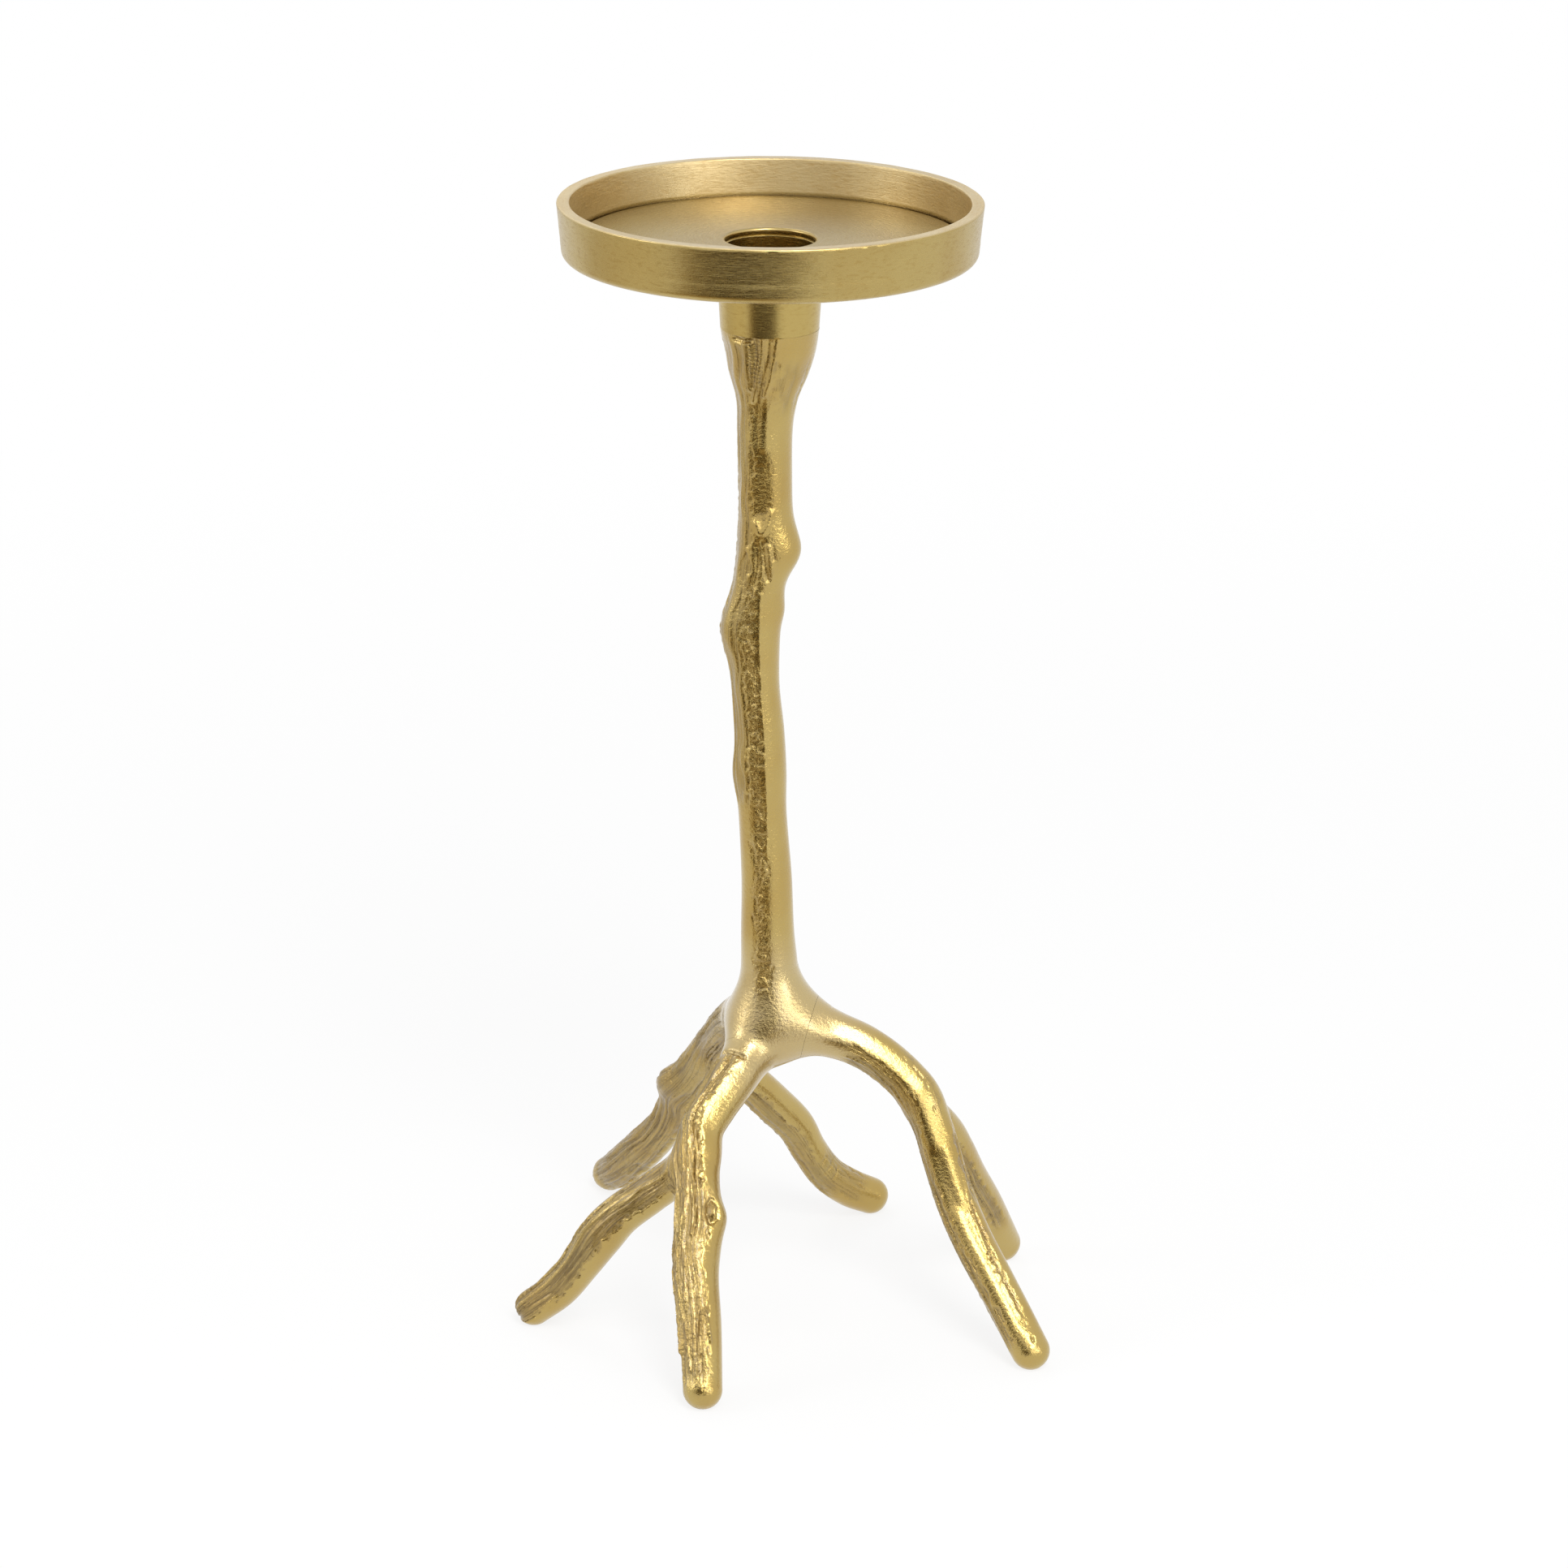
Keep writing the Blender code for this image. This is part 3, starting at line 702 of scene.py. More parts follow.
def turned_gold():
    """Turned gold: fine scratches around the axis over the cast grain; painted shade in the crease and on the floor.
    """
    colours = bpy.context.scene.holder_colours
    material, sheet = new_material("turned_gold_finish")
    lathe = sheet.attribute("lathe", "Vector")
    rim, cup, dim, crease = (sheet.attribute(name) for name in ("rim", "cup", "dim", "crease"))
    place = sheet.place()
    brush, grain = (sheet.noise(lathe, *kind) for kind in (DISH_BRUSH, DISH_GRAIN))
    sand, cloud = (sheet.noise(place, *kind) for kind in (DISH_SAND, DISH_CLOUD))
    dull = sheet.between(grain, *DULL_EDGES)
    rough_cast = sheet.between(cloud, *ROUGH_CAST_EDGES)
    colour = sheet.mix(rim, opaque(colours.turned_gold), opaque(colours.rim_gold))
    # Painted shade on the dish's floor, the bottom of its hollow
    colour = sheet.mix(dim, colour, DISH_FLOOR_SHADE_TINT, "MULTIPLY")
    colour = sheet.mix(cup, colour, opaque(colours.cast_gold))
    colour = sheet.mix(rough_cast * ROUGH_CAST_DULL + dull * GRAIN_DULL, colour, DULL_TINT, "MULTIPLY")
    # Painted shade in the crease at the inner wall's foot
    colour = sheet.mix(crease * CREASE_PAINTED_SHADE, colour, opaque(colours.painted_groove_shade))
    roughness = (DISH_ROUGHNESS + dull * DULL_ROUGHER + brush * BRUSH_ROUGHER + rim * RIM_ROUGHER
                 - cup * CUP_SMOOTHER)
    rough = (grain * DISH_GRAIN_HEIGHT + sand * DISH_SAND_HEIGHT) * (EVEN_GRAIN + rough_cast * ROUGH_GRAIN)
    height = (brush * (1.0 - BRUSH_LOST * rough_cast) * BRUSH_HEIGHT + rough) * (1.0 - cup * CUP_FLATTER)
    sheet.metal(colour, roughness, height, DISH_BUMP, DISH_LACQUER, DISH_BRUSHED)
    return material


def bare_steel():
    """Plain steel with fine turning marks and a slight stain."""
    colours = bpy.context.scene.holder_colours
    material, sheet = new_material("bare_steel_finish")
    place = sheet.place()
    scratch, stain = (sheet.noise(place, *kind) for kind in (STEEL_SCRATCH, STEEL_STAIN))
    worn = sheet.between(stain, *STAIN_EDGES)
    dim = [part * STEEL_DIM for part in colours.steel]
    colour = sheet.mix(worn, opaque(colours.steel), opaque(dim))
    roughness = STEEL_ROUGHNESS + worn * STAIN_ROUGHER + scratch * SCRATCH_ROUGHER
    sheet.metal(colour, roughness, scratch, STEEL_BUMP, 0.0)
    return material


def full_turn(count):
    """Angles spread evenly over a full turn, in radians."""
    return np.linspace(0.0, 2 * math.pi, count, endpoint=False)


def unit(vectors):
    """Vectors scaled to length one."""
    return vectors / np.maximum(np.linalg.norm(vectors, axis=-1, keepdims=True), LEAST_LENGTH)


def smooth_step(values, low, high):
    """Rise from 0 at low to 1 at high along a smooth cubic."""
    share = np.clip((values - low) / (high - low), 0.0, 1.0)
    return share * share * (3.0 - 2.0 * share)


def turn_between(angles, middle):
    """Degrees from a middle angle, the short way round."""
    return np.abs((angles - middle + 180.0) % 360.0 - 180.0)


def scatter(cells, seed):
    """Numbers spread evenly over -1 to 1, one for each whole-number cell: a mixed product of its places."""
    mixed = cells @ np.array(HASH_PRIMES) + seed * HASH_SEED
    for shift, factor in HASH_MIXES:
        mixed = (mixed ^ (mixed >> shift)) * factor & HASH_MASK
    return ((mixed >> HASH_SKIP) & HASH_TOP) / (HASH_TOP / 2) - 1.0


def noise(points, seed):
    """Value noise: scattered numbers at whole-number places, joined by smooth cubics in between."""
    cells = np.floor(points).astype(np.int64)
    share = points - cells
    share = share * share * (3.0 - 2.0 * share)
    total = np.zeros(len(points))
    for corner in itertools.product((0, 1), repeat=3):
        weight = np.prod(np.where(corner, share, 1.0 - share), axis=1)
        total += weight * scatter(cells + np.array(corner), seed)
    return total


class Branch:
    """Smooth centre line with a radius through listed stations, and the bark on it.

    Each coordinate runs through the stations as a Catmull-Rom cubic. The facing direction, made square to the
    line, is where angles around the branch start.
    """

    def __init__(self, name, stations, facing, bark, seed):
        knots = np.array(stations)
        ends = np.vstack((2 * knots[0] - knots[1], knots, 2 * knots[-1] - knots[-2]))
        t = np.linspace(0.0, 1.0, SPAN_SAMPLES, endpoint=False)[None, :, None]
        a, b, c, d = (ends[i:len(ends) - 3 + i, None, :] for i in range(4))
        line = 0.5 * (2 * b + (c - a) * t + (2 * a - 5 * b + 4 * c - d) * t ** 2
                      + (3 * b - a - 3 * c + d) * t ** 3)
        line = np.vstack((line.reshape(-1, 4), knots[-1:]))
        self.name = name
        self.bark = bark
        self.seed = seed
        self.points = line[:, :3]
        self.radii = line[:, 3]
        steps = np.linalg.norm(np.diff(self.points, axis=0), axis=1)
        self.run = np.concatenate(([0.0], np.cumsum(steps)))
        self.tangents = unit(np.gradient(self.points, axis=0))
        facing = np.array(facing) - (self.tangents @ np.array(facing))[:, None] * self.tangents
        self.front = unit(facing)
        self.side = np.cross(self.tangents, self.front)

    def near(self, points):
        """Which points lie in the branch's box, widened by the reach of its surface."""
        inside = (points > self.points.min(axis=0) - REACH) & (points < self.points.max(axis=0) + REACH)
        return np.flatnonzero(inside.all(axis=1))

    def nearest(self, points):
        """Number of the line's sample nearest to each point."""
        squares = (self.points ** 2).sum(axis=1) - 2.0 * points @ self.points.T
        return squares.argmin(axis=1)

    def measure(self, points):
        """Gap to the branch's surface, direction out of its line, run along it and angle around it."""
        parts = np.array_split(points, len(points) // CHUNK + 1)
        nearest = np.concatenate([self.nearest(part) for part in parts])
        tangents = self.tangents[nearest]
        offset = points - self.points[nearest]
        least = np.where(nearest == 0, 0.0, -MOST_AHEAD)
        most = np.where(nearest == len(self.run) - 1, 0.0, MOST_AHEAD)
        ahead = np.clip(np.einsum("ij,ij->i", offset, tangents), least, most)
        run = self.run[nearest] + ahead
        out = offset - ahead[:, None] * tangents
        away = np.linalg.norm(out, axis=1)
        direction = out / np.maximum(away, LEAST_AWAY)[:, None]
        front = np.einsum("ij,ij->i", direction, self.front[nearest])
        side = np.einsum("ij,ij->i", direction, self.side[nearest])
        gap = away - np.interp(run, self.run, self.radii)
        return gap, direction, run, np.degrees(np.arctan2(side, front))

    def tube(self):
        """Closed tube: circles square to the line, of its radius, shrinking over a quarter circle at the ends."""
        count = int(self.run[-1] / TUBE_PITCH)
        dome = np.linspace(0.0, math.pi / 2, DOME_STEPS + 2)[1:-1]
        run = np.linspace(0.0, self.run[-1], count)
        shift = np.concatenate((-np.sin(dome[::-1]), np.zeros(count), np.sin(dome)))
        scale = np.concatenate((np.cos(dome[::-1]), np.ones(count), np.cos(dome)))
        run = np.concatenate((np.zeros(DOME_STEPS), run, np.full(DOME_STEPS, self.run[-1])))
        radius = np.interp(run, self.run, self.radii)
        middle, ahead, front, side = (np.stack([np.interp(run, self.run, table[:, i]) for i in range(3)], axis=1)
                                      for table in (self.points, self.tangents, self.front, self.side))
        turns = full_turn(TUBE_SIDES)[None, :, None]
        ring = np.cos(turns) * front[:, None] + np.sin(turns) * side[:, None]
        middle = middle + (shift * radius)[:, None] * ahead
        return middle[:, None] + (radius * scale)[:, None, None] * ring

    def spot(self, run, angle):
        """Coordinates of the straightened branch, in mm: along it, and on a circle around it."""
        turn = np.radians(angle)
        return np.stack((run, GRAIN_ROUND * np.cos(turn), GRAIN_ROUND * np.sin(turn)), axis=1)

    def strips(self, run, angle, spot):
        """How rough and how pitted the bark is: the strongest strip at each place.

        The edges of the strips wander with one noise and are ragged with a finer one.
        """
        wander = EDGE_WANDER * noise(spot * WANDER_STRETCH, self.seed + 5)
        wander = wander + EDGE_RAG * noise(RAG_STRETCH * spot @ SLANT, self.seed + 7)
        rough, pitted = np.zeros((2, len(run)))
        for middle, half, first, last, strength, share in self.bark:
            beside = turn_between(angle + wander, middle)
            inside = smooth_step(beside, half + STRIP_SOFTNESS, half - STRIP_SOFTNESS)
            along = smooth_step(run, first, first + END_SOFTNESS) * smooth_step(run, last, last - END_SOFTNESS)
            here = strength * inside * along
            pitted = np.where(here > rough, share, pitted)
            rough = np.maximum(rough, here)
        return rough, pitted

    def relief(self, run, angle, depth):
        """Height of the surface over the plain branch, in mm, with how rough, how deep and how pitted it is.

        Grooves lie where a noise, drawn out along the branch, passes through zero. A finer noise and pits fill
        the ridges between them, knots swell out on one side, and ground flanks keep a slight wave.
        """
        spot = self.spot(run, angle)
        rough, pitted = self.strips(run, angle, spot)
        warp = noise(spot * WARP_STRETCH, self.seed + 1)[:, None] * WARP_WAY
        stretch = np.array((1 / STREAK_LENGTH, 1 / STREAK_WIDTH, 1 / STREAK_WIDTH))
        coarse = noise(spot * stretch + warp, self.seed + 2)
        fine = noise(spot * stretch * FINE_TIMES + warp, self.seed + 3)
        turned = (spot / (PIT_LENGTH, PIT_WIDTH, PIT_WIDTH) + PIT_WARP * warp) @ SLANT
        pits = sum(share * noise(times * turned, self.seed + step) for times, share, step in PIT_LAYERS)
        groove = np.exp(-(coarse / GROOVE_SHARPNESS) ** 2)
        groove = np.maximum(groove, FINE_SHARE * np.exp(-(fine / GROOVE_SHARPNESS) ** 2))
        pit = smooth_step(pits, *PIT_RIM)
        cut = rough * (groove + (PIT_SHARE * pit - groove) * pitted)
        wave = FLANK_WAVE * noise(spot / (2.0 * FLANK_PITCH, FLANK_PITCH, FLANK_PITCH), self.seed + 6)
        level = rough * (GRAIN_LEVEL * coarse + PIT_LEVEL * PIT_SHARE * pitted)
        height = wave + depth * (level - cut) + self.marks(run, angle)
        return height, rough, cut, pitted

    def marks(self, run, angle):
        """Knots and single lines: each a bell over its distance from a middle or from a chain of straights."""
        height = np.zeros(len(run))
        for middle, turn, swell, length, width in KNOTS.get(self.name, ()):
            shape = ((run - middle) / length) ** 2 + (turn_between(angle, turn) / width) ** 2
            height += swell * np.exp(-shape)
        spot = np.stack((run, GRAIN_ROUND * np.radians(angle)), axis=1)
        for half, rise, chain in LINES.get(self.name, ()):
            knots = np.array(chain, dtype=float)
            knots[:, 1] = GRAIN_ROUND * np.radians(knots[:, 1])
            near = np.full(len(run), FAR)
            for start, way in zip(knots[:-1], np.diff(knots, axis=0)):
                share = np.clip((spot - start) @ way / (way @ way), 0.0, 1.0)
                near = np.minimum(near, np.linalg.norm(spot - start - share[:, None] * way, axis=1))
            height += rise * np.exp(-(near / half) ** 2)
        return height


def limb(name, stations, bark, seed):
    """Leg or twig; its last station is the middle of a foot."""
    rows = [(x, y, rise * HUB_HEIGHT, radius) for x, y, rise, radius in stations[:-1]]
    rows.append((*stations[-1], FOOT_HEIGHT, FOOT_RADIUS))
    return Branch(name, rows, (0.0, 0.0, 1.0), bark, seed)


def trunk():
    """Stem, from below the hub to above the seat of the dish's cup."""
    top = STEM_TOP / MM
    length = top - HUB_HEIGHT
    rows = [(sway, 0.0, HUB_HEIGHT + share * length, radius) for share, sway, radius in STEM_STATIONS]
    rows += [(0.0, 0.0, top, SEAT_RADIUS), (0.0, 0.0, top + SEAT_RUN, SEAT_RADIUS)]
    return Branch("stem", rows, (0.0, -1.0, 0.0), STEM_BARK, 11)


BRANCHES = (
    trunk(),
    limb("front_leg", FRONT_LEG, FRONT_LEG_BARK, 23),
    limb("right_leg", RIGHT_LEG, RIGHT_LEG_BARK, 37),
    limb("back_leg", BACK_LEG, BACK_LEG_BARK, 41),
    limb("front_leg_twig", FRONT_TWIG, FRONT_TWIG_BARK, 59),
    limb("right_leg_twig", RIGHT_TWIG, RIGHT_TWIG_BARK, 67),
    limb("back_leg_twig", BACK_TWIG, BACK_TWIG_BARK, 73),
)
FILLETS = (FRONT_FILLET, RIGHT_FILLET, BACK_FILLET, FORK_FILLET, FORK_FILLET, FORK_FILLET)
STUDS = ("front_leg_stud", "right_leg_stud", "back_leg_stud",
         "front_twig_stud", "right_twig_stud", "back_twig_stud")


def blend(gaps):
    """Smooth union of the branches' gaps, and each branch's share in it.

    Where two gaps differ by less than a fillet, the lesser is lowered by a quarter of the square of their overlap.
    """
    total = gaps[0]
    shares = [np.ones_like(total)]
    for gap, fillet in zip(gaps[1:], FILLETS):
        overlap = np.maximum(fillet - np.abs(total - gap), 0.0) / fillet
        share = np.where(gap < total, 1.0 - overlap / 2, overlap / 2)
        total = np.minimum(total, gap) - overlap ** 2 * fillet / 4
        shares = [old * (1.0 - share) for old in shares] + [share]
    return total, np.array(shares)


def survey(points):
    """Gap, direction, run and angle of every point to every branch; far branches count as far away."""
    gaps = np.full((len(BRANCHES), len(points)), FAR)
    directions = np.zeros((len(BRANCHES), len(points), 3))
    runs = np.zeros_like(gaps)
    angles = np.zeros_like(gaps)
    for i, branch in enumerate(BRANCHES):
        near = branch.near(points)
        gaps[i, near], directions[i, near], runs[i, near], angles[i, near] = branch.measure(points[near])
    return gaps, directions, runs, angles


def grid_faces(rows, columns):
    """Quads of a grid of vertices whose columns close into a ring, counted row by row."""
    i, j = np.meshgrid(np.arange(rows - 1), np.arange(columns), indexing="ij")
    ahead = (j + 1) % columns
    corners = (i * columns + j, i * columns + ahead, (i + 1) * columns + ahead, (i + 1) * columns + j)
    return np.stack(corners, axis=-1).reshape(-1, 4)


def spread(*places):
    """Points of a grid from coordinates that run along its rows, its columns or both."""
    return np.stack(np.broadcast_arrays(*places), axis=-1).reshape(-1, 3)


def link_object(name, data):
    """Object with its data, linked to the scene."""
    obj = bpy.data.objects.new(name, data)
    bpy.context.scene.collection.objects.link(obj)
    return obj


def lay_mesh(name, points, faces):
    """Mesh object from vertices and faces, linked to the scene."""
    mesh = bpy.data.meshes.new(name)
    mesh.from_pydata(points, [], faces)
    mesh.validate()
    return link_object(name, mesh)


@contextlib.contextmanager
def mesh_edit(mesh):
    """Mesh opened for editing; what was done is written back at the end."""
    bm = bmesh.new()
    bm.from_mesh(mesh)
    yield bm
    bm.to_mesh(mesh)
    bm.free()


def face_outward(obj):
    """Merge doubled vertices and turn all faces out."""
    with mesh_edit(obj.data) as bm:
        bmesh.ops.remove_doubles(bm, verts=bm.verts, dist=DOUBLES)
        bmesh.ops.recalc_face_normals(bm, faces=bm.faces)


def shade(mesh, sharp):
    """Smooth shading that breaks at edges sharper than an angle."""
    mesh.shade_smooth()
    mesh.set_sharp_from_angle(angle=sharp)


def vertex_places(mesh):
    """Coordinates of a mesh's vertices as an array."""
    places = np.empty(len(mesh.vertices) * 3)
    mesh.vertices.foreach_get("co", places)
    return places.reshape(-1, 3)


def rough_skin(pitch):
    """Even quads around the union of all branches' tubes: vertices in mm, and faces."""
    points, faces, start = [], [], 0
    for branch in BRANCHES:
        rings = branch.tube()
        rows, columns = rings.shape[:2]
        points.append(rings.reshape(-1, 3))
        faces += (grid_faces(rows, columns) + start).tolist()
        faces.append((start + np.arange(columns)[::-1]).tolist())
        faces.append((start + (rows - 1) * columns + np.arange(columns)).tolist())
        start += rows * columns
    tubes = lay_mesh("tubes", np.concatenate(points).tolist(), faces)
    remesh = tubes.modifiers.new("skin", "REMESH")
    remesh.mode = "VOXEL"
    remesh.voxel_size = pitch / MM
    graph = bpy.context.evaluated_depsgraph_get()
    skin = bpy.data.meshes.new_from_object(tubes.evaluated_get(graph))
    points = vertex_places(skin)
    corners = np.empty(len(skin.loops), dtype=int)
    skin.loops.foreach_get("vertex_index", corners)
    old = tubes.data
    bpy.data.objects.remove(tubes)
    bpy.data.meshes.remove(old)
    bpy.data.meshes.remove(skin)
    return points, corners.reshape(-1, 4)


def settle(points):
    """Move vertices onto the smooth union of the branches, along its slope."""
    for _ in range(SETTLE_STEPS):
        gaps, directions, _, _ = survey(points)
        total, shares = blend(gaps)
        slope = np.einsum("bp,bpi->pi", shares, directions)
        points = points - total[:, None] * slope / np.maximum((slope ** 2).sum(axis=1), LEAST_SLOPE)[:, None]
    return points


def carve(points, depth):
    """Raise the bark out of the smooth skin; gives the vertices and what the finish reads from them."""
    gaps, directions, runs, angles = survey(points)
    _, shares = blend(gaps)
    slope = unit(np.einsum("bp,bpi->pi", shares, directions))
    values = np.zeros((4, len(points)))
    owner = gaps.argmin(axis=0)
    grain = np.zeros((len(points), 3))
    for i, branch in enumerate(BRANCHES):
        here = np.flatnonzero(shares[i] > LEAST_SHARE)
        values[:, here] += shares[i, here] * np.array(branch.relief(runs[i, here], angles[i, here], depth))
        mine = np.flatnonzero(owner == i)
        grain[mine] = branch.spot(runs[i, mine], angles[i, mine]) + branch.seed * GRAIN_APART
    height, rough, cut, pitted = values
    points = points + height[:, None] * slope
    points = np.clip(points, *((np.array(corner) - AXIS) / MM for corner in CAD_BOX))
    run, angle = (table[owner, np.arange(len(points))] for table in (runs, angles))
    on_head = (smooth_step(run, *RUNGS_COME) * smooth_step(run, *RUNGS_GO)
               * smooth_step(turn_between(angle, RUNGS_MIDDLE), *RUNGS_HALF))
    looks = {"bark": rough, "groove": cut, "pitted": pitted, "grain": grain,
             "ladder": np.where(owner == 0, on_head, 0.0)}
    return points, gaps, looks


def store_looks(mesh, looks):
    """Write values per vertex as attributes of a mesh."""
    for name, values in looks.items():
        kind, field = ("FLOAT", "value") if values.ndim == 1 else ("FLOAT_VECTOR", "vector")
        layer = mesh.attributes.new(name, kind, "POINT")
        layer.data.foreach_set(field, values.astype(np.float32).ravel())


def joint_planes():
    """For each stud: its branch's number, and the joint's middle and direction out along the branch, in metres."""
    planes = []
    for number, stud in enumerate(STUDS, start=1):
        low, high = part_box(stud)
        middle = (low + high) / 2
        branch = BRANCHES[number]
        sample = branch.nearest((np.array(middle) - AXIS)[None] / MM)[0]
        planes.append((number, middle, Vector(branch.tangents[sample])))
    return planes


def saw_lines(points, gaps, planes):
    """For each joint: how far each vertex lies beyond it, in mm, and which vertices are close to it.

    That is the lesser of the way along the branch and the way past the valley between it and the branch that
    carries it, so that the line of zeros closes around the branch.
    """
    lines = []
    for number, middle, direction in planes:
        offset = points - (np.array(middle) - AXIS) / MM
        carrier = max(0, number - LEGS)
        past_valley = gaps[carrier] - gaps[number] + VALLEY_SIDE
        beyond = np.minimum(offset @ np.array(direction), past_valley)
        lines.append((beyond, np.linalg.norm(offset, axis=1) < SAW_REACH))
    return lines


def edge_ends(mesh):
    """Numbers of the two vertices of each edge as an array."""
    ends = np.empty(len(mesh.edges) * 2, dtype=int)
    mesh.edges.foreach_get("vertices", ends)
    return ends.reshape(-1, 2)


def saw(bm, ends, lines):
    """Cut the skin open along the zeros of each line: split the edges across it, then the faces between them."""
    bm.edges.ensure_lookup_table()
    bm.verts.ensure_lookup_table()
    cuts = []
    for beyond, close in lines:
        first, second = beyond[ends[:, 0]], beyond[ends[:, 1]]
        crossed = np.flatnonzero((first * second < 0.0) & close[ends[:, 0]] & close[ends[:, 1]])
        shares = first[crossed] / (first - second)[crossed]
        cuts.append([(bm.edges[i], bm.verts[ends[i, 0]], share) for i, share in zip(crossed, shares)])
    for cut in cuts:
        # Dictionaries keep their order, so that every run gives the same mesh
        marks = dict.fromkeys(bmesh.utils.edge_split(edge, corner, share)[1] for edge, corner, share in cut)
        faces = dict.fromkeys(face for mark in marks for face in mark.link_faces)
        seam = []
        for face in faces:
            pair = [corner for corner in face.verts if corner in marks]
            if len(pair) != 2:
                raise RuntimeError(f"a saw line crosses one face {len(pair)} times")
            seam.append(bmesh.utils.face_split(face, *pair)[1].edge)
        bmesh.ops.split_edges(bm, edges=seam)


def drill(bm, loop, middle, outward, radius, depth):
    """Close an open end with a flat face that has a blind hole, outward being the way out of the piece."""
    turn = outward.to_track_quat("Z", "Y").to_matrix()
    angles = [2 * math.pi * i / SMALL_COLUMNS for i in range(SMALL_COLUMNS)]
    ring = [turn @ Vector((math.cos(a), math.sin(a), 0.0)) * radius for a in angles]
    mouth = [bm.verts.new(middle + spoke) for spoke in ring]
    floor = [bm.verts.new(middle + spoke - depth * outward) for spoke in ring]
    point = bm.verts.new(middle - (depth + radius / 2) * outward)
    mouth_edges = [bm.edges.new((mouth[i - 1], mouth[i])) for i in range(SMALL_COLUMNS)]
    bmesh.ops.bridge_loops(bm, edges=loop + mouth_edges)
    for i in range(SMALL_COLUMNS):
        bm.faces.new((mouth[i - 1], mouth[i], floor[i], floor[i - 1]))
        bm.faces.new((floor[i - 1], floor[i], point))


def close_ends(obj, number, planes, gap):
    """Set back and close the open ends of a casting, each with the hole for its stud or screw."""
    ends = [(middle, direction if branch != number else -direction, STUD_RADIUS, STUD_LENGTH / 2)
            for branch, middle, direction in planes]
    seat = Vector((AXIS[0], AXIS[1], STEM_TOP))
    ends.append((seat, Vector((0.0, 0.0, 1.0)), SCREW_RADIUS, STEM_TOP - SCREW_LOW.z))
    loops = [[] for _ in ends]
    with mesh_edit(obj.data) as bm:
        for edge in [edge for edge in bm.edges if edge.is_boundary]:
            place = (edge.verts[0].co + edge.verts[1].co) / 2
            loops[min(range(len(ends)), key=lambda i: (ends[i][0] - place).length)].append(edge)
        for loop, (middle, outward, radius, depth) in zip(loops, ends):
            if loop:
                back = Vector() if middle == seat else -outward * gap / 2
                bmesh.ops.translate(bm, verts=list({corner for edge in loop for corner in edge.verts}), vec=back)
                drill(bm, loop, middle + back, outward, radius + HOLE_MARGIN, depth + HOLE_MARGIN)
        bmesh.ops.recalc_face_normals(bm, faces=bm.faces)
    shade(obj.data, CASTING_SHARP)


def dress(obj, node, material):
    """Give a finished piece its material, let it stand for its solid and fix it to the holder."""
    triangles = sum(len(face.vertices) - 2 for face in obj.data.polygons)
    if triangles > MOST_TRIANGLES:
        raise RuntimeError(f"{obj.name} has {triangles} triangles")
    obj.data.materials.clear()
    obj.data.materials.append(material)
    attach(obj, "root")
    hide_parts(node)


class HOLDER_OT_castings(bpy.types.Operator):
    """Skin the stem, legs and twigs as one casting and saw it apart at the joints"""

    bl_idname = "holder.castings"
    bl_label = "Stem, legs and twigs"

    def execute(self, context):
        sizes = context.scene.holder_sizes
        points, faces = rough_skin(sizes.skin_pitch)
        points = settle(points)
        points, gaps, looks = carve(points, sizes.bark_depth / MM)
        skin = lay_mesh("castings", (points * MM + AXIS).tolist(), faces.tolist())
        store_looks(skin.data, looks)
        planes = joint_planes()
        with mesh_edit(skin.data) as bm:
            saw(bm, edge_ends(skin.data), saw_lines(points, gaps, planes))
            bmesh.ops.bisect_plane(bm, geom=[*bm.verts, *bm.edges, *bm.faces], plane_co=(0.0, 0.0, STEM_TOP),
                                   plane_no=(0.0, 0.0, 1.0), clear_outer=True)
        self.part_castings(context, skin, planes, sizes.joint_gap)
        return {"FINISHED"}

    @staticmethod
    def part_castings(context, skin, planes, gap):
        """Split the sawn skin into pieces, name each after the branch its far end lies on, and finish them."""
        for other in context.selected_objects:
            other.select_set(False)
        context.view_layer.objects.active = skin
        skin.select_set(True)
        bpy.ops.object.mode_set(mode="EDIT")
        bpy.ops.mesh.select_all(action="SELECT")
        bpy.ops.mesh.separate(type="LOOSE")
        bpy.ops.object.mode_set(mode="OBJECT")
        pieces = list(context.selected_objects)
        if len(pieces) != len(BRANCHES):
            raise RuntimeError(f"the castings came apart into {len(pieces)} pieces")
        material = cast_gold()
        for number, branch in enumerate(BRANCHES):
            end = branch.points[-1] * MM + AXIS
            piece = min(pieces, key=lambda item: np.linalg.norm(vertex_places(item.data) - end, axis=1).min())
            pieces.remove(piece)
            piece.name = branch.name + "_casting"
            piece.data.name = piece.name
            close_ends(piece, number, planes, gap)
            dress(piece, branch.name, material)


def arc(middle_r, middle_z, radius, first, last):
    """Points of a circular arc in a turned profile, angles in degrees."""
    angles = np.radians(np.linspace(first, last, ARC_STEPS))
    return np.stack((middle_r + radius * np.cos(angles), middle_z + radius * np.sin(angles)), axis=1)


def refine(profile, pitch):
    """Points spread evenly along each straight of a profile, no further apart than the pitch."""
    pieces = []
    for start, end in zip(profile[:-1], profile[1:]):
        count = max(1, math.ceil(np.linalg.norm(end - start) / pitch))
        share = np.linspace(0.0, 1.0, count, endpoint=False)[:, None]
        pieces.append(start + share * (end - start))
    return np.concatenate(pieces + [profile[-1:]])


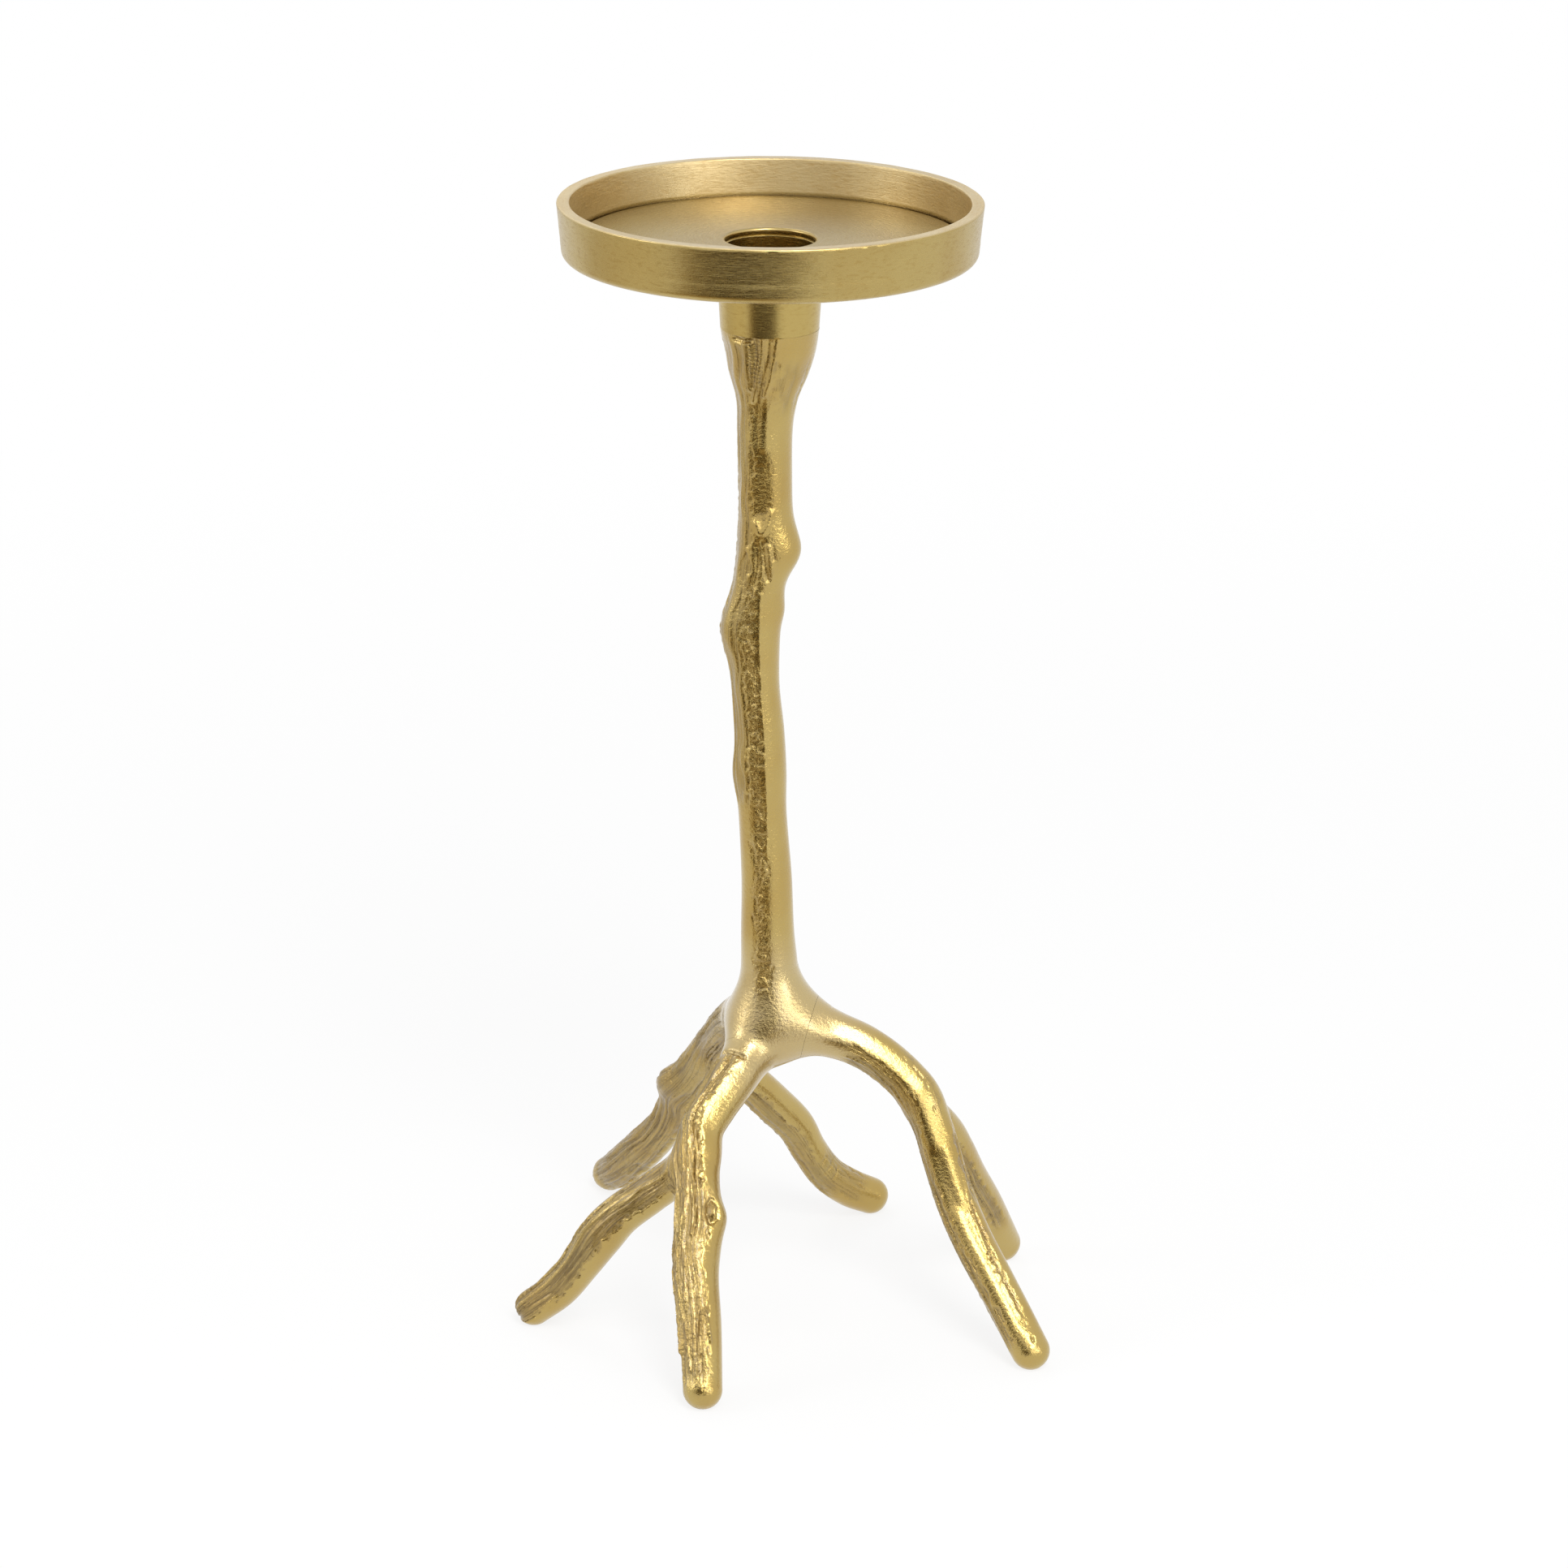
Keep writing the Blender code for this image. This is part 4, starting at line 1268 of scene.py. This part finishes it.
def dish_profile():
    """Outline of the dish from the rim outside, under the bottom and through the socket back to the rim."""
    radius = (DISH_HIGH.x - DISH_LOW.x) / 2
    top = DISH_HIGH.z
    under = top - DISH_HEIGHT
    floor = top - DISH_DEPTH
    cup_bottom = STEM_TOP + SEAM
    socket_floor = SCREW_HIGH.z
    wall_foot = radius - DISH_DRAFT
    inner_top = radius - RIM_THICKNESS
    inner_foot = inner_top - INNER_DRAFT
    socket_foot = SOCKET_RADIUS - SOCKET_TAPER
    cup_foot = socket_foot + CUP_WALL
    hole = SCREW_RADIUS + HOLE_MARGIN
    sink = SCREW_HEAD_RADIUS + HOLE_MARGIN
    sink_depth = SCREW_HEAD_LAND + HOLE_MARGIN
    groove = inner_foot - GROOVE_WIDTH / 2
    return np.concatenate((
        arc(radius - RIM_ROUND, top - RIM_ROUND, RIM_ROUND, 90, 0),
        arc(wall_foot - UNDERSIDE_ROUND, under + UNDERSIDE_ROUND, UNDERSIDE_ROUND, 0, -90),
        [(cup_foot + draft * CUP_DRAFT + out * CUP_SWELL, under - down * CUP_SWELL)
         for draft, out, down in CUP_CURVE],
        ((cup_foot, cup_bottom), (hole, cup_bottom),
         (hole, socket_floor - sink_depth - (sink - hole)), (sink, socket_floor - sink_depth),
         (sink, socket_floor), (socket_foot, socket_floor)),
        ((SOCKET_RADIUS, floor - RING_DEPTH - 2 * RING_GROOVE),
         (SOCKET_RADIUS + RING_GROOVE, floor - RING_DEPTH - RING_GROOVE),
         (SOCKET_RADIUS, floor - RING_DEPTH)),
        arc(SOCKET_RADIUS + SOCKET_LIP, floor - SOCKET_LIP, SOCKET_LIP, 180, 90),
        ((groove - GROOVE_WIDTH / 2, floor), (groove - GROOVE_WIDTH / 4, floor - FLOOR_GROOVE),
         (groove + GROOVE_WIDTH / 4, floor - FLOOR_GROOVE), (inner_foot, floor)),
        arc(inner_top + RIM_ROUND, top - RIM_ROUND, RIM_ROUND, 180, 90),
    ))


def dish_wander(length, turns):
    """Unevenness over the run along the dish's profile and the turn around its axis: a noise and a finer one."""
    spot = spread(length[:, None] / RIM_WAVE, RIM_ROUNDS * np.cos(turns), RIM_ROUNDS * np.sin(turns))
    wander = sum(share * noise(times * spot, seed) for times, share, seed in RIM_LAYERS)
    return wander.reshape(len(length), -1)


def dish_looks(points, profile, length, turns):
    """What the finish reads from the dish: coordinates along and around it, and how far a place belongs to a part.

    The parts are the rim with the inner wall, the crease at the wall's foot, which takes painted shade, and the cup
    below the bottom.
    """
    around = profile[:, :1] / MM
    on_rim = smooth_step(points[:, 2], DISH_HIGH.z - RIM_ROUND, DISH_HIGH.z - RIM_ROUND / 2)
    away = np.hypot(*(points - AXIS)[:, :2].T)
    below = DISH_HIGH.z - points[:, 2]
    wall = away.max() - RIM_THICKNESS
    inside = (away < wall) & (below < DISH_DEPTH + FLOOR_GROOVE + SEAM)
    by_wall = inside & (away > wall - INNER_DRAFT - CREASE_REACH)
    pale = np.where(below < DISH_DEPTH - DISH_PITCH, 1.0, FLOOR_PALENESS)
    return {
        "lathe": spread(length[:, None] / MM, around * np.cos(turns), around * np.sin(turns)),
        "rim": np.maximum(on_rim, inside * pale),
        # Painted shade in the crease at the wall's foot, just above the floor
        "crease": by_wall * smooth_step(below, DISH_DEPTH - CREASE_START, DISH_DEPTH - CREASE_FULL),
        "cup": smooth_step(below, DISH_HEIGHT, DISH_HEIGHT + CUP_SWELL),
    }


class HOLDER_OT_dish(bpy.types.Operator):
    """Turn the dish with its socket and cup"""

    bl_idname = "holder.dish"
    bl_label = "Dish"

    def execute(self, context):
        """Radius and height of the profile, carried around the axis; the rim and walls wander slightly."""
        profile = dish_profile()
        profile = refine(np.vstack((profile, profile[:1])), DISH_PITCH)[:-1]
        length = np.concatenate(([0.0], np.cumsum(np.linalg.norm(np.diff(profile, axis=0), axis=1))))
        turns = full_turn(DISH_COLUMNS)
        outside = smooth_step(profile[:, 0], *(share * profile[:, 0].max() for share in WALL_SHARES))
        floor = DISH_HIGH.z - DISH_DEPTH
        on_floor = (np.abs(profile[:, 1] - floor) < FLOOR_MARGIN) & (profile[:, 0] > SOCKET_RADIUS)
        rings = np.where(on_floor, TOOL_RING * np.sin(2 * math.pi * profile[:, 0] / TOOL_PITCH), 0.0)
        sink = context.scene.holder_sizes.rim_wander * outside[:, None]
        sink = sink * (dish_wander(length, turns) - WANDER_MOST) / (2 * WANDER_MOST)
        radius = profile[:, :1] + np.where(profile[:, 1:] > floor, sink, 0.0)
        height = profile[:, 1:] + np.where(profile[:, 1:] > DISH_HIGH.z - RIM_ROUND, sink, 0.0) + rings[:, None]
        points = spread(radius * np.cos(turns) + AXIS[0], radius * np.sin(turns) + AXIS[1], height)
        faces = grid_faces(len(profile) + 1, DISH_COLUMNS) % len(points)
        dish = lay_mesh("turned_dish", points.tolist(), faces.tolist())
        looks = dish_looks(points, profile, length, turns)
        # The dim share paints shade over the dish's floor
        store_looks(dish.data, {**looks, "dim": np.repeat(on_floor, DISH_COLUMNS)})
        face_outward(dish)
        shade(dish.data, DISH_SHARP)
        dress(dish, "candle_dish", turned_gold())
        return {"FINISHED"}


def thread_rows(low, high, radius, pitch):
    """Rows of a threaded length, from high to low: heights, and radii that fall by a groove in each turn.

    The groove's depth is a share of the pitch, and its place goes round once in each pitch.
    """
    turns = full_turn(SMALL_COLUMNS)
    count = int((high - low) / pitch * THREAD_ROWS)
    heights = np.linspace(high, low, count)
    phase = (heights[:, None] / pitch - turns[None] / (2 * math.pi)) % 1.0
    fade = smooth_step(heights, low, low + pitch) * smooth_step(heights, high, high - pitch)
    flank = np.clip(THREAD_CREST - THREAD_STEEPNESS * np.abs(phase - 0.5), 0.0, 1.0)
    radii = radius - THREAD_DEPTH * pitch * flank * fade[:, None]
    return np.broadcast_to(heights[:, None], radii.shape), radii


def bolt(name, rows, middle, direction, node, material):
    """Piece from rows of heights and radii around an axis, closed at both ends, placed along a direction."""
    shapes = [(len(np.atleast_2d(radius)), SMALL_COLUMNS) for _, radius in rows]
    heights, radii = (np.concatenate([np.broadcast_to(row[i], shape) for row, shape in zip(rows, shapes)])
                      for i in range(2))
    turns = full_turn(SMALL_COLUMNS)
    turn = np.array(Vector(direction).to_track_quat("Z", "Y").to_matrix())
    points = spread(radii * np.cos(turns), radii * np.sin(turns), heights) @ turn.T + np.array(middle)
    obj = lay_mesh(name, points.tolist(), grid_faces(len(heights), SMALL_COLUMNS).tolist())
    face_outward(obj)
    shade(obj.data, DISH_SHARP)
    dress(obj, node, material)


class HOLDER_OT_screw(bpy.types.Operator):
    """Make the countersunk screw that holds the dish on the stem"""

    bl_idname = "holder.screw"
    bl_label = "Dish screw"

    def execute(self, context):
        """Rows from the bottom of the hexagon out over the head and down the threaded shank to the tip."""
        top = SCREW_HIGH.z
        tip = SCREW_LOW.z
        turns = np.degrees(full_turn(SMALL_COLUMNS))
        hexagon = HEX_FLAT / np.cos(np.radians(turns % 60.0 - 30.0))
        head = SCREW_HEAD_LAND + SCREW_HEAD_RADIUS - SCREW_RADIUS
        shank = thread_rows(tip + SCREW_TIP, top - head - SCREW_THREAD / 2, SCREW_RADIUS, SCREW_THREAD)
        rows = [(top - HEX_DEPTH - HEX_FLAT / 3, 0.0), (top - HEX_DEPTH, hexagon * HEX_NARROWING),
                (top - HEX_DEPTH, hexagon), (top - HEX_CHAMFER, hexagon), (top, hexagon + HEX_CHAMFER),
                (top, SCREW_HEAD_RADIUS - HEX_CHAMFER / 2),
                (top - HEX_CHAMFER / 2, SCREW_HEAD_RADIUS), (top - SCREW_HEAD_LAND, SCREW_HEAD_RADIUS),
                (top - head, SCREW_RADIUS), shank, (tip, SCREW_RADIUS - SCREW_TIP), (tip, 0.0)]
        bolt("countersunk_screw", rows, AXIS, (0.0, 0.0, 1.0), "dish_screw", bare_steel())
        return {"FINISHED"}


class HOLDER_OT_studs(bpy.types.Operator):
    """Make the threaded studs across the joints"""

    bl_idname = "holder.studs"
    bl_label = "Joint studs"

    def execute(self, context):
        """Rows from one chamfered end down the thread to the other."""
        half = STUD_LENGTH / 2
        material = bare_steel()
        shank = thread_rows(STUD_CHAMFER - half, half - STUD_CHAMFER, STUD_RADIUS, STUD_THREAD)
        rows = [(half, 0.0), (half, STUD_RADIUS - STUD_CHAMFER), shank,
                (-half, STUD_RADIUS - STUD_CHAMFER), (-half, 0.0)]
        for node, (_, middle, direction) in zip(STUDS, joint_planes()):
            bolt("threaded_" + node, rows, middle, direction, node, material)
        return {"FINISHED"}


def seen_directly(sheet):
    """One for what the camera sees, straight or in metal and glass, and zero for light on the way to a surface."""
    rays = [sheet.node("ShaderNodeLightPath", {}, {}, ray)
            for ray in ("Is Camera Ray", "Is Glossy Ray", "Is Transmission Ray")]
    return sheet.node("ShaderNodeClamp", {}, {"Value": rays[0] + rays[1] + rays[2]})


class HOLDER_OT_stage(bpy.types.Operator):
    """Set the camera, the lights and the pale floor"""

    bl_idname = "holder.stage"
    bl_label = "Stage"

    def execute(self, context):
        scene = context.scene
        scene.view_settings.view_transform = "Standard"
        self.set_camera(scene)
        self.set_world(scene)
        self.set_lamps()
        self.set_floor(scene)
        self.set_flags()
        return {"FINISHED"}

    @staticmethod
    def set_camera(scene):
        data = bpy.data.cameras.new("camera")
        data.lens = CAMERA_LENS
        data.sensor_width = CAMERA_SENSOR
        camera = link_object("camera", data)
        turn = Matrix.Rotation(math.pi / 2 - CAMERA_PITCH, 4, "X") @ Matrix.Rotation(CAMERA_ROLL, 4, "Z")
        camera.matrix_world = Matrix.Translation(CAMERA_PLACE) @ turn
        scene.camera = camera

    @staticmethod
    def set_world(scene):
        """White where the camera or a reflection sees it, softer as a light."""
        world = bpy.data.worlds.new("studio")
        scene.world = world
        sheet = Sheet(world)
        level = WORLD_LIGHT + (1.0 - WORLD_LIGHT) * seen_directly(sheet)
        light = sheet.node("ShaderNodeBackground", {}, {"Color": WHITE, "Strength": level})
        sheet.node("ShaderNodeOutputWorld", {}, {"Surface": light})

    @staticmethod
    def set_lamps():
        """Soft boxes that face the middle of the holder."""
        for name, place, width, height, power in LAMPS:
            data = bpy.data.lights.new(name, "AREA")
            data.shape = "RECTANGLE"
            data.size = width
            data.size_y = height
            data.energy = power
            lamp = link_object(name, data)
            turn = (Vector(LAMP_TARGET) - Vector(place)).to_track_quat("-Z", "Y").to_matrix().to_4x4()
            lamp.matrix_world = Matrix.Translation(place) @ turn

    @staticmethod
    def set_floor(scene):
        """Round floor: rings of growing radius around the origin.

        It shines white, and near the holder it keeps part of its shade.
        """
        turns = full_turn(FLOOR_COLUMNS)
        radii = np.array(FLOOR_RINGS)[:, None]
        points = spread(radii * np.cos(turns), radii * np.sin(turns), 0.0)
        faces = grid_faces(len(radii), FLOOR_COLUMNS).tolist() + [list(range(FLOOR_COLUMNS))]
        floor = lay_mesh("floor", points.tolist(), faces)
        face_outward(floor)
        material, sheet = new_material("pale_floor")
        tint = opaque(scene.holder_colours.floor)
        paint = sheet.node("ShaderNodeBsdfDiffuse", {}, {"Color": tint})
        shine = sheet.node("ShaderNodeEmission", {}, {"Color": WHITE, "Strength": 1.0})
        away = sheet.node("ShaderNodeVectorMath", {"operation": "LENGTH"}, {0: sheet.place()}, "Value")
        share = FLOOR_SHINE + (1.0 - FLOOR_SHINE) * sheet.between(away, *FLOOR_FADE)
        mixed = sheet.node("ShaderNodeMixShader", {}, {0: seen_directly(sheet) * share, 1: paint, 2: shine})
        sheet.node("ShaderNodeOutputMaterial", {}, {"Surface": mixed})
        floor.data.materials.append(material)

    @staticmethod
    def set_flags():
        """Cards, dark to pale, lying and standing, that are seen only in the metal."""
        for name, shade, corners in FLAGS:
            material, sheet = new_material(name + "_cloth")
            cloth = sheet.node("ShaderNodeBsdfDiffuse", {}, {"Color": opaque(shade)})
            sheet.node("ShaderNodeOutputMaterial", {}, {"Surface": cloth})
            places = [(x, y, z + FLAG_LIFT) for x, y, z in corners]
            flag = lay_mesh(name, places, [list(range(len(places)))])
            face_outward(flag)
            flag.data.materials.append(material)
            flag.visible_camera = False
            flag.visible_diffuse = False
            flag.visible_shadow = False


class HOLDER_PT_panel(bpy.types.Panel):
    """Sidebar panel of the candle holder"""

    bl_idname = "HOLDER_PT_panel"
    bl_label = "Candle holder"
    bl_space_type = "VIEW_3D"
    bl_region_type = "UI"
    bl_category = "Holder"

    def draw(self, context):
        layout = self.layout
        for group in (context.scene.holder_sizes, context.scene.holder_colours):
            for name in group.__annotations__:
                layout.prop(group, name)
        for operator in OPERATORS:
            layout.operator(operator.bl_idname)


OPERATORS = (HOLDER_OT_stage, HOLDER_OT_castings, HOLDER_OT_dish, HOLDER_OT_screw, HOLDER_OT_studs)
CLASSES = (HolderSizes, HolderColours, *OPERATORS, HOLDER_PT_panel)


def register():
    for item in CLASSES:
        bpy.utils.register_class(item)
    bpy.types.Scene.holder_sizes = PointerProperty(type=HolderSizes)
    bpy.types.Scene.holder_colours = PointerProperty(type=HolderColours)


def unregister():
    del bpy.types.Scene.holder_sizes
    del bpy.types.Scene.holder_colours
    for item in reversed(CLASSES):
        bpy.utils.unregister_class(item)


def main():
    register()
    bpy.ops.holder.stage()
    bpy.ops.holder.castings()
    bpy.ops.holder.dish()
    bpy.ops.holder.screw()
    bpy.ops.holder.studs()


if __name__ == "__main__":
    main()
